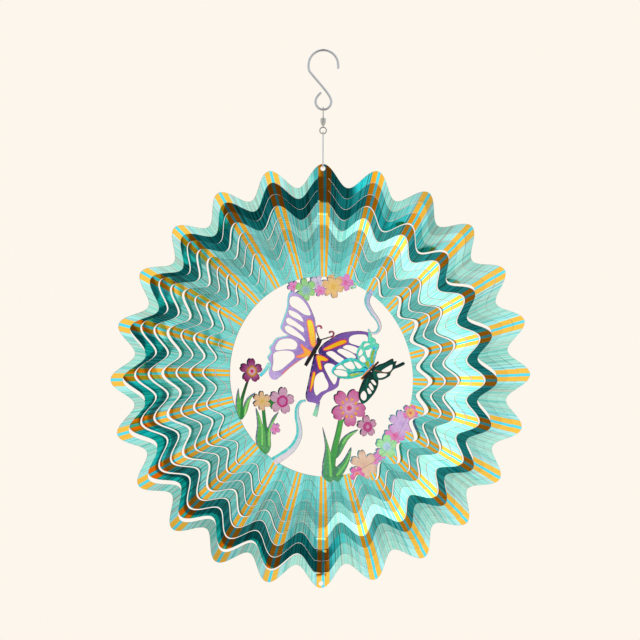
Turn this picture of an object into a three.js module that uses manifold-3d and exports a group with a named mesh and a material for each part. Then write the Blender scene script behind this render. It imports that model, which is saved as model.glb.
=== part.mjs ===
// Hanging wind spinner: a printed sheet-steel disc, cut into nested wavy rings that are bent open
// round a butterfly-and-flower scene, hung on a snap link, a swivel and an S-hook.
//
// Frame: millimetres, +Z up, front faces -Y. The origin is the inner top of the hook's crown, where
// it rests on whatever it hangs from. The disc's own drawings are (x, z) in its flat sheet, with
// their zero at the disc's centre.
import * as THREE from 'three';
import { mergeVertices } from 'three/addons/utils/BufferGeometryUtils.js';
import Module from 'manifold-3d';

// ---- driving dimensions -------------------------------------------------------------------------
const CLEARANCE = 0.3;            // between neighbouring solids
const SHEET = 0.6;                // thickness of the steel sheet
const LOBES = 24;                 // waves round every edge of the disc
const DISC_TIP = 150;             // radius of the outer edge at a wave's tip
const DISC_TROUGH = 134.2;        // radius of the outer edge between two tips
const TIP_STEP = 8.5;             // how far each cut lies inside the one before it, at the tips
const TROUGH_STEP = 7.6;          // and between the tips
const KERF = 0.4;                 // width of a cut
const WINDOW = 70.6;              // radius of the round opening that holds the scene
const RING_TURNS = [-10.3, -2.3, 0, 10, 13.5, 15, 18.2, 20.7, 24];    // degrees, outermost ring first
const RING_WARPS = [0.8, -5.7, -7, 0, -0.4, -1.1, -0.7, -0.3, 2.3];   // extra turn of its right-hand end
const LOWER_CREASE = 6;           // how much sharper a warp passes the centre line at the bottom
const OUTER_TWIST = 2.7;          // extra turn of the outermost ring at its upper right and lower left
const OUTER_DIP = { turn: 9, x: 14, spread: 24 };             // and just right of its top
const HOLE_RADIUS = 1.75;         // hanging hole, and its twin at the bottom
const HOLE_INSET = 3.2;           // hole centre to tip

const HOOK_WIRE = 1.8;            // S-hook wire diameter
const CROWN_RADIUS = 10.35;       // wire centre line of the hook's crown
const EYE_LOOP = { x: 0.1, z: -35.1, radius: 5.5 };           // closed lower loop of the S-hook
const SWIVEL_WIRE = 0.8;          // upper eye of the swivel
const LINK_WIRE = 0.9;            // lower eye and snap link
const LINK_HALF_WIDTH = 2.2;

// Heights down the hanging line.
const UPPER_EYE = { z: -42.4, halfHeight: 3.4, halfWidth: 2.4 };
const BARREL = { top: -46.5, bottom: -51.7, radius: 1.95, cavity: 1.3, neck: 0.8 };
const LOWER_EYE = { z: -55.2, radius: 2.3 };
const LINK_TOP = -56.3;
const LINK_BOTTOM = -80.8;
const DISC_CENTRE = -228.6;

const WAVE_STATIONS = [0, 50, 130, 180, 230, 310];            // degrees of one wave that get a point

// ---- solids: three.js geometry in, manifold joins and cuts, three.js geometry out ---------------
const wasm = await Module();
wasm.setup();

function bare(geometry) {
  const copy = geometry.clone();
  copy.deleteAttribute('normal');
  copy.deleteAttribute('uv');
  return mergeVertices(copy);
}

function signedVolume(geometry) {
  const index = geometry.index.array;
  const [a, b, c] = [new THREE.Vector3(), new THREE.Vector3(), new THREE.Vector3()];
  let volume = 0;
  for (let i = 0; i < index.length; i += 3) {
    a.fromBufferAttribute(geometry.attributes.position, index[i]);
    b.fromBufferAttribute(geometry.attributes.position, index[i + 1]);
    c.fromBufferAttribute(geometry.attributes.position, index[i + 2]);
    volume += a.dot(b.cross(c));
  }
  return volume / 6;
}

// One closed body with its faces pointing out.
function outward(geometry) {
  const body = bare(geometry);
  if (signedVolume(body) < 0) {
    const index = body.index.array;
    for (let i = 0; i < index.length; i += 3) {
      [index[i], index[i + 1]] = [index[i + 1], index[i]];
    }
  }
  body.computeVertexNormals();
  return body;
}

function toSolid(geometry) {
  const body = outward(geometry);
  const vertProperties = new Float32Array(body.attributes.position.array);
  const triVerts = new Uint32Array(body.index.array);
  return new wasm.Manifold(new wasm.Mesh({ numProp: 3, vertProperties, triVerts }));
}

function toGeometry(solid) {
  const mesh = solid.getMesh();
  const geometry = new THREE.BufferGeometry();
  geometry.setAttribute('position', new THREE.BufferAttribute(mesh.vertProperties, 3));
  geometry.setIndex(new THREE.BufferAttribute(mesh.triVerts, 1));
  geometry.computeVertexNormals();
  return geometry;
}

const union = (solids) => solids.reduce((all, next) => all.add(next));

const volumeOf = (solid) => signedVolume(toGeometry(solid));

// The biggest connected piece of a solid: scraps that nothing holds fall out of the sheet.
function largest(solid) {
  const pieces = solid.decompose();
  return pieces.reduce((best, piece) => (volumeOf(piece) > volumeOf(best) ? piece : best));
}

// ---- flat shapes, as outlines in the sheet's own (x, z) -----------------------------------------
function smooth(points, closed, perSpan) {
  const curve = new THREE.CatmullRomCurve3(
    points.map(([x, z]) => new THREE.Vector3(x, z, 0)), closed, 'centripetal');
  const spans = closed ? points.length : points.length - 1;
  const out = curve.getPoints(spans * perSpan).map((p) => new THREE.Vector2(p.x, p.y));
  if (closed) out.pop();
  return out;
}

// Moves every corner of a closed outline outwards.
function grown(outline, by) {
  const side = THREE.ShapeUtils.area(outline) > 0 ? 1 : -1;
  return outline.map((point, i) => {
    const before = outline.at(i - 1);
    const after = outline[(i + 1) % outline.length];
    const along = after.clone().sub(before).normalize();
    return new THREE.Vector2(point.x + side * by * along.y, point.y - side * by * along.x);
  });
}

const blob = (points, perSpan = 2) => (extra) => grown(smooth(points, true, perSpan), extra);

// A stroke of the sheet that follows a line and changes width from one end to the other.
const stroke = (points, startWidth, endWidth, perSpan = 2) => (extra) => {
  const line = smooth(points, false, perSpan);
  const left = [];
  const right = [];
  line.forEach((point, i) => {
    const along = line[Math.min(i + 1, line.length - 1)].clone().sub(line[Math.max(i - 1, 0)]);
    const across = new THREE.Vector2(-along.y, along.x).normalize();
    const half = THREE.MathUtils.lerp(startWidth, endWidth, i / (line.length - 1)) / 2 + extra;
    left.push(point.clone().addScaledVector(across, half));
    right.unshift(point.clone().addScaledVector(across, -half));
  });
  return [...left, ...right];
};

// A blossom seen face on: petals that come to a soft point, with a notch between neighbours.
const blossom = (x, z, radius, petals, turn = 0) => (extra) => {
  const perPetal = 4;
  const depth = [0.56, 0.88, 1, 0.88];
  return Array.from({ length: petals * perPetal }, (_, i) => {
    const angle = THREE.MathUtils.degToRad(turn) + (i / (petals * perPetal)) * 2 * Math.PI;
    const reach = radius * depth[i % perPetal] + extra;
    return new THREE.Vector2(x + reach * Math.cos(angle), z + reach * Math.sin(angle));
  });
};

const disc = (radius, sides) => Array.from({ length: sides }, (_, i) => {
  const angle = (i / sides) * 2 * Math.PI;
  return new THREE.Vector2(radius * Math.cos(angle), radius * Math.sin(angle));
});

// An outline becomes sheet of the given thickness, upright, centred on y = 0.
function sheetGeometry(outline, holes, thickness) {
  const shape = new THREE.Shape(outline);
  shape.holes = holes.map((hole) => new THREE.Path(hole));
  const geometry = new THREE.ExtrudeGeometry(shape, { depth: thickness, bevelEnabled: false });
  return geometry.rotateX(Math.PI / 2).translate(0, thickness / 2, 0);
}

const plate = (outline, thickness = SHEET) => toSolid(sheetGeometry(outline, [], thickness));

// ---- the nested wavy rings ----------------------------------------------------------------------
function wavyEdge(cut, shift) {
  const tip = DISC_TIP - TIP_STEP * cut + shift;
  const trough = DISC_TROUGH - TROUGH_STEP * cut + shift;
  const points = [];
  for (let lobe = 0; lobe < LOBES; lobe += 1) {
    for (const station of WAVE_STATIONS) {
      const wave = Math.cos(THREE.MathUtils.degToRad(station));
      const radius = (tip + trough) / 2 + ((tip - trough) / 2) * wave;
      const angle = Math.PI / 2 + (2 * Math.PI * (lobe + station / 360)) / LOBES;
      points.push(new THREE.Vector2(radius * Math.cos(angle), radius * Math.sin(angle)));
    }
  }
  return points;
}

function ringGeometry(number) {
  const cut = number - 1;
  const isOutermost = cut === 0;
  const isInnermost = number === RING_TURNS.length;
  const outer = wavyEdge(cut, isOutermost ? 0 : -KERF / 2);
  const holes = [isInnermost ? disc(WINDOW, 72) : wavyEdge(number, KERF / 2)];
  if (isOutermost) {
    for (const z of [DISC_TIP - HOLE_INSET, HOLE_INSET - DISC_TIP]) {
      holes.push(disc(HOLE_RADIUS, 12).map((p) => p.add(new THREE.Vector2(0, z))));
    }
  }
  return sheetGeometry(outer, holes, SHEET);
}

// Degrees that a point of a ring's flat sheet is turned about the vertical centre line. The warp adds
// to the turn on the right and takes from it on the left: the slight set a ring keeps when it is bent.
function degreesTurned(number, x, z) {
  const reach = Math.max(Math.hypot(x, z), WINDOW);
  const [side, height] = [x / reach, z / reach];
  const sharpness = 1 + LOWER_CREASE * Math.max(0, -height);
  const lean = Math.tanh(sharpness * side) / Math.tanh(sharpness);
  const turn = RING_TURNS[number - 1] + RING_WARPS[number - 1] * lean;
  if (number > 1) return turn;
  const dip = Math.exp(-(((x - OUTER_DIP.x) / OUTER_DIP.spread) ** 2)) * Math.max(0, height);
  return turn + 2 * OUTER_TWIST * side * height + OUTER_DIP.turn * dip;
}

function turned(geometry, number) {
  const corners = geometry.attributes.position;
  for (let i = 0; i < corners.count; i += 1) {
    const x = corners.getX(i);
    const y = corners.getY(i);
    const angle = THREE.MathUtils.degToRad(degreesTurned(number, x, corners.getZ(i)));
    corners.setX(i, x * Math.cos(angle) + y * Math.sin(angle));
    corners.setY(i, y * Math.cos(angle) - x * Math.sin(angle));
  }
  return geometry;
}

// ---- the scene in the window --------------------------------------------------------------------
const LARGE_BUTTERFLY = {
  parts: [
    blob([[-5.5, 16], [-4, 19], [-5, 27], [-5.5, 39.5], [-7.5, 45], [-12, 53], [-18, 58],
      [-24.5, 59.5], [-26.5, 56], [-27, 49], [-30, 40], [-32, 33.5], [-29.5, 30.5], [-24, 27.5],
      [-15, 20]]),
    blob([[-5.5, 16.5], [-15, 22.5], [-24, 28.5], [-30.5, 27.5], [-35.5, 26], [-38, 22.5],
      [-40.5, 19.5], [-39.5, 16.5], [-42, 12.5], [-40, 8], [-41, 2.5], [-39.5, -2], [-36, -3.5],
      [-32, -1], [-24, 6], [-12, 14]]),
    blob([[-3, 18], [1, 23.6], [6, 27], [12.4, 30.8], [20, 32.8], [28, 33.6], [35, 33], [40, 30.5],
      [42, 27], [40, 24.5], [36, 22.6], [31.5, 20], [29, 16], [27, 12.8], [20, 11.8], [14.7, 8.6],
      [8, 10.8], [2.5, 12]]),
    blob([[-5.5, 16], [-7, 12], [-9.5, 1], [-11.5, -8], [-12.5, -13.5], [-11, -17.5], [-6.5, -18.5],
      [-3, -18.8], [0.5, -13.5], [4, -10.9], [9, -8.7], [12.5, -6], [13.4, -2], [14.6, 1.7], [13.6, 6],
      [15, 9.6], [10, 12.5], [3.5, 14]]),
    stroke([[-2.5, -17.5], [-4, -23], [-5.5, -28]], 2.2, 3.6),
    stroke([[-40.5, 8], [-44, 2.5], [-47.5, -1]], 2.6, 2.2),
    stroke([[-1.9, 27], [-3.5, 22.8], [-6.5, 18], [-9.8, 12.5], [-12.8, 7.5]], 4.2, 2.4),
    stroke([[-2.3, 27], [-4.3, 31.8], [-4.6, 34.6], [-3.1, 35.9], [-1, 35.6], [-0.6, 34]], 1, 1.2),
    stroke([[-1, 26.2], [4.4, 27.9], [8.2, 29.3], [8.9, 31.4], [7, 32.3], [5.2, 31.4]], 1, 1.2),
  ],
  cells: [
    blob([[-24.5, 55.5], [-19, 56], [-13, 51.5], [-9, 43.5], [-13.5, 43.5], [-19, 46.5], [-25, 50.5]], 1),
    blob([[-26, 46], [-23, 46], [-16.5, 42.5], [-14.5, 38.5], [-19, 40], [-25, 43]], 1),
    blob([[-28, 39.5], [-26, 41], [-20, 38], [-14, 33.5], [-14.5, 31], [-21, 34.5], [-27, 37]], 1),
    blob([[-29, 34], [-26.5, 35.5], [-18.5, 31], [-14, 27], [-13, 24.5], [-18.5, 27], [-27.5, 31]], 1),
    blob([[-33, 24.5], [-23.5, 26], [-19, 22.5], [-20.5, 19], [-27.5, 18.5], [-36, 18]], 1),
    blob([[-37, 15.5], [-23, 17], [-21, 13.5], [-27, 7.5], [-32.5, 3.5], [-38, 3], [-37.5, 9]], 1),
    blob([[20.9, 28.4], [23.3, 30.2], [29.5, 31.2], [34.5, 30.6], [35.5, 27.3], [31.8, 25.2],
      [29.5, 23], [25.6, 23.6], [20.9, 25.2]], 1),
    blob([[15.9, 21.5], [19.8, 23.4], [28.3, 20.8], [26.6, 17.6], [20.2, 19.6]], 1),
    blob([[11.6, 18.9], [14.3, 20.5], [25.6, 16.2], [26, 14.4], [20.2, 14], [16.3, 15.8]], 1),
    blob([[3.1, 17], [7.4, 18.6], [12.4, 16], [17.4, 12.5], [13.2, 10.6], [7.8, 13.4]], 1),
    blob([[1.6, 8.1], [4.7, 9.8], [10.1, 8.4], [11.4, 4.4], [11.6, -1.3], [9.5, -5], [7.4, -2.9],
      [4.3, 1.9]], 1),
    blob([[-5.4, -0.7], [-3.1, 2.2], [0.4, 3.4], [2.7, -0.6], [5, -5.1], [4.3, -8.2], [-0.8, -10.7],
      [-4.3, -13.3], [-6.2, -9.2]], 1),
  ],
};

const SMALL_BUTTERFLY = {
  parts: [
    blob([[36, 5.2], [33.3, 3.3], [27.9, 1.2], [21.7, -0.4], [14.7, -0.4], [10, 1.5], [7.2, 4.2],
      [9, 7.6], [12.4, 10], [16.5, 12.6], [21.7, 14.4], [27.9, 13.6], [31.5, 11.4], [35, 9]]),
    blob([[38, 7], [32.6, 9.6], [29, 12.4], [26.8, 16.3], [27.2, 20], [29.5, 23.5], [32.2, 26.6],
      [34.9, 26.4], [35.7, 28.4], [36, 33], [38, 32.7], [38.4, 29.9], [41.1, 28.3], [41.9, 25.8],
      [44, 24.8], [43.8, 22.1], [42.6, 19.9], [41.5, 15.6], [40.3, 11.4]]),
    blob([[38.5, 6], [43.4, 10.3], [48, 12], [55, 15.3], [55.6, 13.4], [57.8, 13.7], [57, 10.8],
      [60, 12], [63.2, 13.3], [64.2, 11.9], [58.9, 9], [55.8, 7.8], [53.5, 5.4], [52.7, 3.3],
      [49.6, 1.2], [46.5, 0], [42.6, 0], [39.5, 1.8]]),
    blob([[37, 5.2], [32.2, -0.3], [30.2, -4.6], [28.7, -8.9], [29, -13.8], [31.4, -17.4],
      [34.1, -16.6], [38, -12.9], [41.2, -9], [43.5, -4], [43.6, -0.2], [41.5, 3]]),
    stroke([[30.4, -0.2], [35.7, 4.8], [40.3, 9.3], [43.8, 12.6]], 2, 1.4),
  ],
  cells: [
    blob([[9, 4.3], [11.6, 5.5], [18.6, 4.4], [19.8, 1.8], [14.5, 1.1], [10.5, 2.2]], 1),
    blob([[10.6, 6.4], [12.6, 8.3], [15.1, 9], [17.4, 7], [19.4, 5.5], [15.5, 6]], 1),
    blob([[16.5, 9.6], [19.8, 11.2], [22.9, 11.7], [25.5, 7.4], [23.3, 6.4], [19.8, 6.9]], 1),
    blob([[24.6, 12], [27.9, 11.3], [31, 8.4], [28.3, 7], [26.4, 8.6]], 1),
    blob([[28.1, 16], [28.5, 19], [30.2, 20.9], [31.6, 18.4], [29.5, 16.1]], 1),
    blob([[28.9, 13.2], [29.4, 14.8], [31.8, 16.5], [33.3, 14.6], [33.7, 12], [31, 11.8]], 1),
    blob([[33.4, 19.9], [36, 20.7], [38.4, 21.9], [37.6, 18.6], [36, 14.9], [34.9, 15.7], [33.9, 18]], 1),
    blob([[32, 22.3], [32.8, 24.5], [34.9, 25.2], [37.4, 24.8], [34.9, 23.6]], 1),
    blob([[46.1, 6.2], [48.4, 8], [51.2, 9.6], [54.6, 11], [54, 7.7], [52.3, 6.2], [48.8, 5.6]], 1),
    blob([[42.8, 4], [46.5, 4.6], [50.6, 4.2], [48.8, 2.4], [43.8, 1.4]], 1),
    blob([[30.2, -11], [32.6, -8.4], [34.7, -10.7], [34.5, -13.8], [32.6, -15.2], [30.4, -13.7]], 1),
    blob([[35, -6.8], [36, -6.2], [38.7, -9.4], [36.6, -10.4]], 1),
    blob([[36.2, -4.3], [37.3, -2.6], [40.2, -6.5], [39.3, -7.8]], 1),
    blob([[37.9, -0.9], [39.7, -0.3], [42.2, -3.3], [41.2, -4.1]], 1),
  ],
};

const TOP_GARLAND = {
  parts: [
    blossom(-23, 63.5, 4.5, 5, 20), blossom(-13.5, 61.5, 8.5, 6, 10), blossom(-4.5, 66.5, 6, 5, 30),
    blossom(-2.5, 61, 4.5, 5), blossom(7.5, 64.5, 9, 6, 15), blossom(17, 67.5, 6.5, 5, 40),
    blossom(23.5, 65.5, 3, 5),
  ],
  cells: [],
};

const RIGHT_GARLAND = {
  parts: [
    blossom(68, -21.5, 6, 5, 25), blossom(61, -29.5, 9.5, 6, 5), blossom(56, -38, 8, 6, 20),
    blossom(50, -46, 8.5, 5, 54), blossom(45, -52, 4.5, 5, 10), blossom(40.5, -56.5, 4.5, 5),
    blossom(32.5, -60, 10.5, 6, 12), blossom(27, -67, 6, 5, 30),
  ],
  cells: [],
};

const TOP_SWIRL = {
  parts: [
    stroke([[37.5, 63], [34.5, 54.5], [38, 47.5], [43, 41.5], [44.5, 36.5], [42, 33], [38, 32.4],
      [35.5, 35]], 4.6, 1.2, 3),
  ],
  cells: [],
};

const BOTTOM_SWIRL = {
  parts: [
    stroke([[-12.5, -17.2], [-16.5, -18.5], [-19, -23], [-19, -29], [-17.5, -35.5], [-17.5, -42.5],
      [-22, -51], [-30, -57.5], [-37, -62]], 1.6, 6.5, 3),
  ],
  cells: [],
};

const MAGENTA_FLOWER = {
  parts: [
    blossom(-54.5, 2.5, 9, 5, 54),
    stroke([[-56.5, -4], [-59, -11], [-61.5, -20], [-62, -32]], 1.6, 3),
    blob([[-64, -10.5], [-66, -19], [-65.5, -27.5], [-61.5, -33], [-61, -23], [-63, -17]]),
    blob([[-51, -13], [-57.5, -17.5], [-61, -26.5], [-61.5, -33], [-57.5, -27.5], [-54.5, -18]]),
  ],
  cells: [],
};

const LEFT_CLUSTER = {
  parts: [
    blossom(-46.5, -18.5, 7, 6), blossom(-31, -18, 10, 5, 46), blossom(-36, -38, 4.6, 5, 10),
    blob([[-43, -18.5], [-38, -17.5], [-35, -20.5], [-38.5, -23.5]]),
    stroke([[-45, -22], [-44, -31.5], [-43, -40]], 2.4, 3),
    blob([[-50.5, -24], [-49.5, -35.5], [-50.5, -47.5], [-47.5, -54], [-42, -56.5], [-39, -52],
      [-39, -43.5], [-37.5, -35.5], [-33, -26], [-37.5, -30], [-42, -38], [-45, -36], [-47.5, -29.5]]),
  ],
  cells: [],
};

const ROSE_FLOWER = {
  parts: [
    blossom(20.5, -20.5, 14, 5, 27), blossom(35, -33, 8, 5, 61),
    stroke([[15, -29], [13, -38.5], [9.5, -52.5], [8, -63.5]], 4, 5),
    blob([[0.5, -35.5], [3.5, -43.5], [7.5, -55.5], [9, -65.5], [4.5, -71], [0.5, -65.5], [2.5, -49.5]]),
    blob([[28.5, -35.8], [21, -38.5], [14.5, -44.5], [11.5, -57], [14.5, -54], [21, -43]]),
    blob([[23, -48.5], [17, -57.5], [9, -66.5], [8, -73], [13.5, -71.5], [19.5, -63.5], [22.5, -55.5]]),
    blob([[0.5, -65.5], [1, -71.5], [8, -74], [14, -71.5], [11, -62.5], [5.5, -61.5]]),
  ],
  cells: [],
};

// Motifs from the one that keeps its whole outline to the one that gives way to all the others.
const MOTIFS = [
  ['butterfly_small', SMALL_BUTTERFLY, 0x2fae9c],
  ['flower_rose', ROSE_FLOWER, 0xb5628a],
  ['flower_magenta', MAGENTA_FLOWER, 0x7d2b52],
  ['butterfly_large', LARGE_BUTTERFLY, 0x8a6fb0],
  ['flower_cluster_left', LEFT_CLUSTER, 0xc79ab5],
  ['garland_top', TOP_GARLAND, 0xe3c79a],
  ['garland_right', RIGHT_GARLAND, 0xd3a6c9],
  ['swirl_top', TOP_SWIRL, 0x9ccfd6],
  ['swirl_bottom', BOTTOM_SWIRL, 0xa9d8d8],
];

function motifSolid(motif, motifsAbove) {
  const thick = SHEET + 1;
  let solid = union(motif.parts.map((outline) => plate(outline(0))));
  for (const cell of motif.cells) {
    solid = solid.subtract(plate(cell(0), thick));
  }
  for (const other of motifsAbove) {
    solid = solid.subtract(union(other.parts.map((outline) => plate(outline(CLEARANCE), thick))));
  }
  return largest(solid.intersect(plate(disc(WINDOW - CLEARANCE, 72), thick)));
}

// ---- wire hardware ------------------------------------------------------------------------------
const onArc = (centre, radius, degrees) => {
  const angle = THREE.MathUtils.degToRad(degrees);
  return [centre.x + radius * Math.cos(angle), centre.z + radius * Math.sin(angle)];
};

function arcPoints(centre, radius, from, to, steps) {
  return Array.from({ length: steps + 1 }, (_, i) =>
    onArc(centre, radius, THREE.MathUtils.lerp(from, to, i / steps)));
}

// Round wire along a line of points, with flat ends.
function wireGeometry(points, diameter, steps, sides) {
  const path = new THREE.CatmullRomCurve3(points, false, 'centripetal');
  const section = new THREE.Shape(disc(diameter / 2, sides));
  return new THREE.ExtrudeGeometry(section, { steps, extrudePath: path, bevelEnabled: false });
}

function hookGeometry() {
  const crown = { x: 0, z: HOOK_WIRE / 2 - CROWN_RADIUS };
  const points = [
    [10.3, -12.3],
    ...arcPoints(crown, CROWN_RADIUS, 0, 180, 9),
    [-10.3, -11.8], [-9.6, -14], [-8, -16],
    [3, -29.1],
    ...arcPoints(EYE_LOOP, EYE_LOOP.radius, 25, -200, 11),
    [-4.2, -31.5], [-1.4, -28.4],
  ].map(([x, z]) => new THREE.Vector3(x, 0, z));
  return wireGeometry(points, HOOK_WIRE, 60, 8);
}

function rod(radius, top, bottom, sides = 10) {
  const geometry = new THREE.CylinderGeometry(radius, radius, top - bottom, sides);
  return toSolid(geometry.rotateX(Math.PI / 2).translate(0, 0, (top + bottom) / 2));
}

// Oval wire eye in the YZ plane, with a headed stem that turns inside the barrel.
function upperEyeGeometry() {
  const { z, halfHeight, halfWidth } = UPPER_EYE;
  const oval = Array.from({ length: 12 }, (_, i) => {
    const angle = (i / 12) * 2 * Math.PI;
    return new THREE.Vector3(0, halfWidth * Math.cos(angle), z + halfHeight * Math.sin(angle));
  });
  const path = new THREE.CatmullRomCurve3(oval, true, 'centripetal');
  const loop = toSolid(new THREE.TubeGeometry(path, 24, SWIVEL_WIRE / 2, 7, true));
  const headTop = BARREL.top - SWIVEL_WIRE - CLEARANCE;
  const stem = rod(BARREL.neck - CLEARANCE, z - halfHeight, headTop - 0.5);
  const head = rod(BARREL.cavity - CLEARANCE, headTop, headTop - 0.9);
  return toGeometry(loop.add(stem).add(head));
}

// Turned barrel: a cavity for the upper eye's head, and a blind hole for the lower eye's stem.
function barrelGeometry() {
  const { top, bottom, radius, cavity, neck } = BARREL;
  const profile = [
    [0, -49.7], [cavity, -49.7], [cavity, top - SWIVEL_WIRE], [neck, top - SWIVEL_WIRE], [neck, top],
    [1.45, top], [1.8, top - 0.3], [radius, top - 0.9], [radius, -48.6], [1.75, -49.8],
    [1.3, -50.9], [1.15, bottom], [0.7, bottom], [0.7, -50.4], [0, -50.4],
  ].map(([r, z]) => new THREE.Vector2(r, z));
  return outward(new THREE.LatheGeometry(profile, 14).rotateX(Math.PI / 2));
}

function lowerEyeGeometry() {
  const { z, radius } = LOWER_EYE;
  const ring = new THREE.TorusGeometry(radius, LINK_WIRE / 2, 7, 20).rotateX(Math.PI / 2);
  return toGeometry(toSolid(ring.translate(0, 0, z)).add(rod(0.4, -50.7, z + radius, 8)));
}

// Long wire link in the YZ plane, butted part way down its rear leg.
function linkGeometry() {
  const topArc = { x: 0, z: LINK_TOP - LINK_HALF_WIDTH };
  const bottomArc = { x: 0, z: LINK_BOTTOM + LINK_HALF_WIDTH };
  const points = [
    [LINK_HALF_WIDTH, -62.2], [LINK_HALF_WIDTH, -70],
    ...arcPoints(bottomArc, LINK_HALF_WIDTH, 0, -180, 6),
    [-LINK_HALF_WIDTH, -70], [-LINK_HALF_WIDTH, -62],
    ...arcPoints(topArc, LINK_HALF_WIDTH, 180, 0, 6),
    [LINK_HALF_WIDTH, -61.6],
  ].map(([y, z]) => new THREE.Vector3(0, y, z));
  return wireGeometry(points, LINK_WIRE, 44, 7);
}

// ---- assembly -----------------------------------------------------------------------------------
const CHROME = { color: 0xc9ccd0, roughness: 0.2, metalness: 1 };
const PRINTED = { roughness: 0.35, metalness: 0.6 };

function part(name, geometry, look) {
  const mesh = new THREE.Mesh(outward(geometry), new THREE.MeshStandardMaterial(look));
  mesh.name = name;
  return mesh;
}

const spinner = new THREE.Group();
spinner.add(
  part('s_hook', hookGeometry(), CHROME),
  part('swivel_upper_eye', upperEyeGeometry(), CHROME),
  part('swivel_barrel', barrelGeometry(), { ...CHROME, color: 0xd8dadd }),
  part('swivel_lower_eye', lowerEyeGeometry(), CHROME),
  part('wire_link', linkGeometry(), CHROME),
);

const wheel = new THREE.Group();
wheel.position.z = DISC_CENTRE;
spinner.add(wheel);

const INNERMOST = RING_TURNS.length;
for (let number = 1; number <= INNERMOST; number += 1) {
  const color = new THREE.Color(0x5ec4b4).lerp(new THREE.Color(0x8fe0cf), number / INNERMOST);
  const ring = turned(outward(ringGeometry(number)), number);
  wheel.add(part(`wave_ring_${number}`, ring, { ...PRINTED, color }));
}

MOTIFS.forEach(([name, motif, color], i) => {
  const above = MOTIFS.slice(0, i).map(([, other]) => other);
  const motifSheet = turned(toGeometry(motifSolid(motif, above)), INNERMOST);
  wheel.add(part(name, motifSheet, { ...PRINTED, color }));
});

export default spinner;
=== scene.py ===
"""Blender looks of the hanging wind spinner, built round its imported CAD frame.

Drawings are in millimetres in the disc's flat sheet: (x, z) from the disc's centre, front facing -Y.
Every sheet is drawn flat, then turned about the vertical centre line to where its ring stands.
"""
import math

import bmesh
import bpy
import numpy as np
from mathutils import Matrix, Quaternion, Vector
from mathutils.geometry import delaunay_2d_cdt


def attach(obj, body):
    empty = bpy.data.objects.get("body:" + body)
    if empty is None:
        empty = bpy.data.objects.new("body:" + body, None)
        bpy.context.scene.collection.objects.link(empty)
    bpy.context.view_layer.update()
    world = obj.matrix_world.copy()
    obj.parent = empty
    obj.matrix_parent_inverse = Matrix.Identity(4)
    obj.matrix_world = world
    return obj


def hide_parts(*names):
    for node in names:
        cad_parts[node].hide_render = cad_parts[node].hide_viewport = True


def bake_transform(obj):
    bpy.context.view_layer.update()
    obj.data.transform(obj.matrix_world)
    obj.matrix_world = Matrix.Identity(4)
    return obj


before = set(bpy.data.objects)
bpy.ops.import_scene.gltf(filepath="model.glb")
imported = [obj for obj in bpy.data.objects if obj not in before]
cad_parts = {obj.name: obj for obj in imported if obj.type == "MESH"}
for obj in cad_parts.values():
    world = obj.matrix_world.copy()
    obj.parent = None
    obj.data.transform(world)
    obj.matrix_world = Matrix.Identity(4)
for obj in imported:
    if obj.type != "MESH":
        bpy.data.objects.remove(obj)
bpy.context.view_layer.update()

# ---- driving dimensions, the CAD's own --------------------------------------------------------------
MM = 0.001
SHEET = 0.6
RIM = 0.08                     # the cut edge is broken by this much on both faces
CREASE = math.radians(30)      # faces that meet at more than this show an edge
LOBES = 24
DISC_TIP, DISC_TROUGH = 150, 134.2
TIP_STEP, TROUGH_STEP = 8.5, 7.6
KERF = 0.16                    # finer than the CAD's, as a laser leaves it
WINDOW = 70.6
RING_TURNS = [-10.3, -2.3, 0, 10, 13.5, 15, 18.2, 20.7, 24]
RING_WARPS = [0.8, -5.7, -7, 0, -0.4, -1.1, -0.7, -0.3, 2.3]
RINGS = len(RING_TURNS)
LOWER_CREASE = 6               # how much sharper the warps are at the bottom
OUTER_TWIST = 2.7              # extra turn of the outermost ring at its upper right and lower left
OUTER_DIP, DIP_X, DIP_SPREAD = 9, 14, 24   # and its dent at the top: turn, place and width
HOLE_RADIUS, HOLE_INSET = 1.75, 3.2
DISC_CENTRE = -228.6
HOOK_WIRE, CROWN_RADIUS = 1.8, 10.35
EYE_LOOP = (0.1, -35.1, 5.5)
SWIVEL_WIRE = 0.8
LINK_WIRE, LINK_HALF_WIDTH = 0.9, 2.2
UPPER_EYE = (-42.4, 3.4, 2.4)  # z, half height, half width
LOWER_EYE = (-55.2, 2.3)
LINK_TOP, LINK_BOTTOM = -56.3, -80.8

# ---- what the flat sheet and its print add ----------------------------------------------------------
STATIONS = 24                  # points on each wave of an edge
PETAL_STATIONS = 18            # and on each petal
WELD = 1e-4                    # drawn points nearer than this are one
BRIDGE = 3.7                   # half width of the uncut strip that joins the rings
BRIDGE_SEAM = 0.3              # how far a bridge reaches past the cut it spans
PRINT_SHIFT = (1.4, 0.0)       # the ring print lies this far off the cut pattern
SCENE_SHIFT = (1.0, -0.5)      # and the scene's print this far
VIEWER = 2500                  # how far in front stands the eye whose mirrored light and shade is painted into the print
PAINTED_SHEEN_BY_ANGLE = [  # painted sheen: degrees left of that eye that the sheet mirrors at rest, and how much paler (above 0) or darker (below 0) the print is painted there for the light or shade it mirrors
    (-20, 0.9), (-15, 0.7), (-11.5, 0.1), (-9, -0.7), (-7, -1), (11, -1), (14, -0.55), (17, -0.6), (18, -0.8),
    (20, 0.2), (22.5, 0.4), (26, 0.75), (30, 0.25), (38, 0.15), (46, 0.3)]


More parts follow.
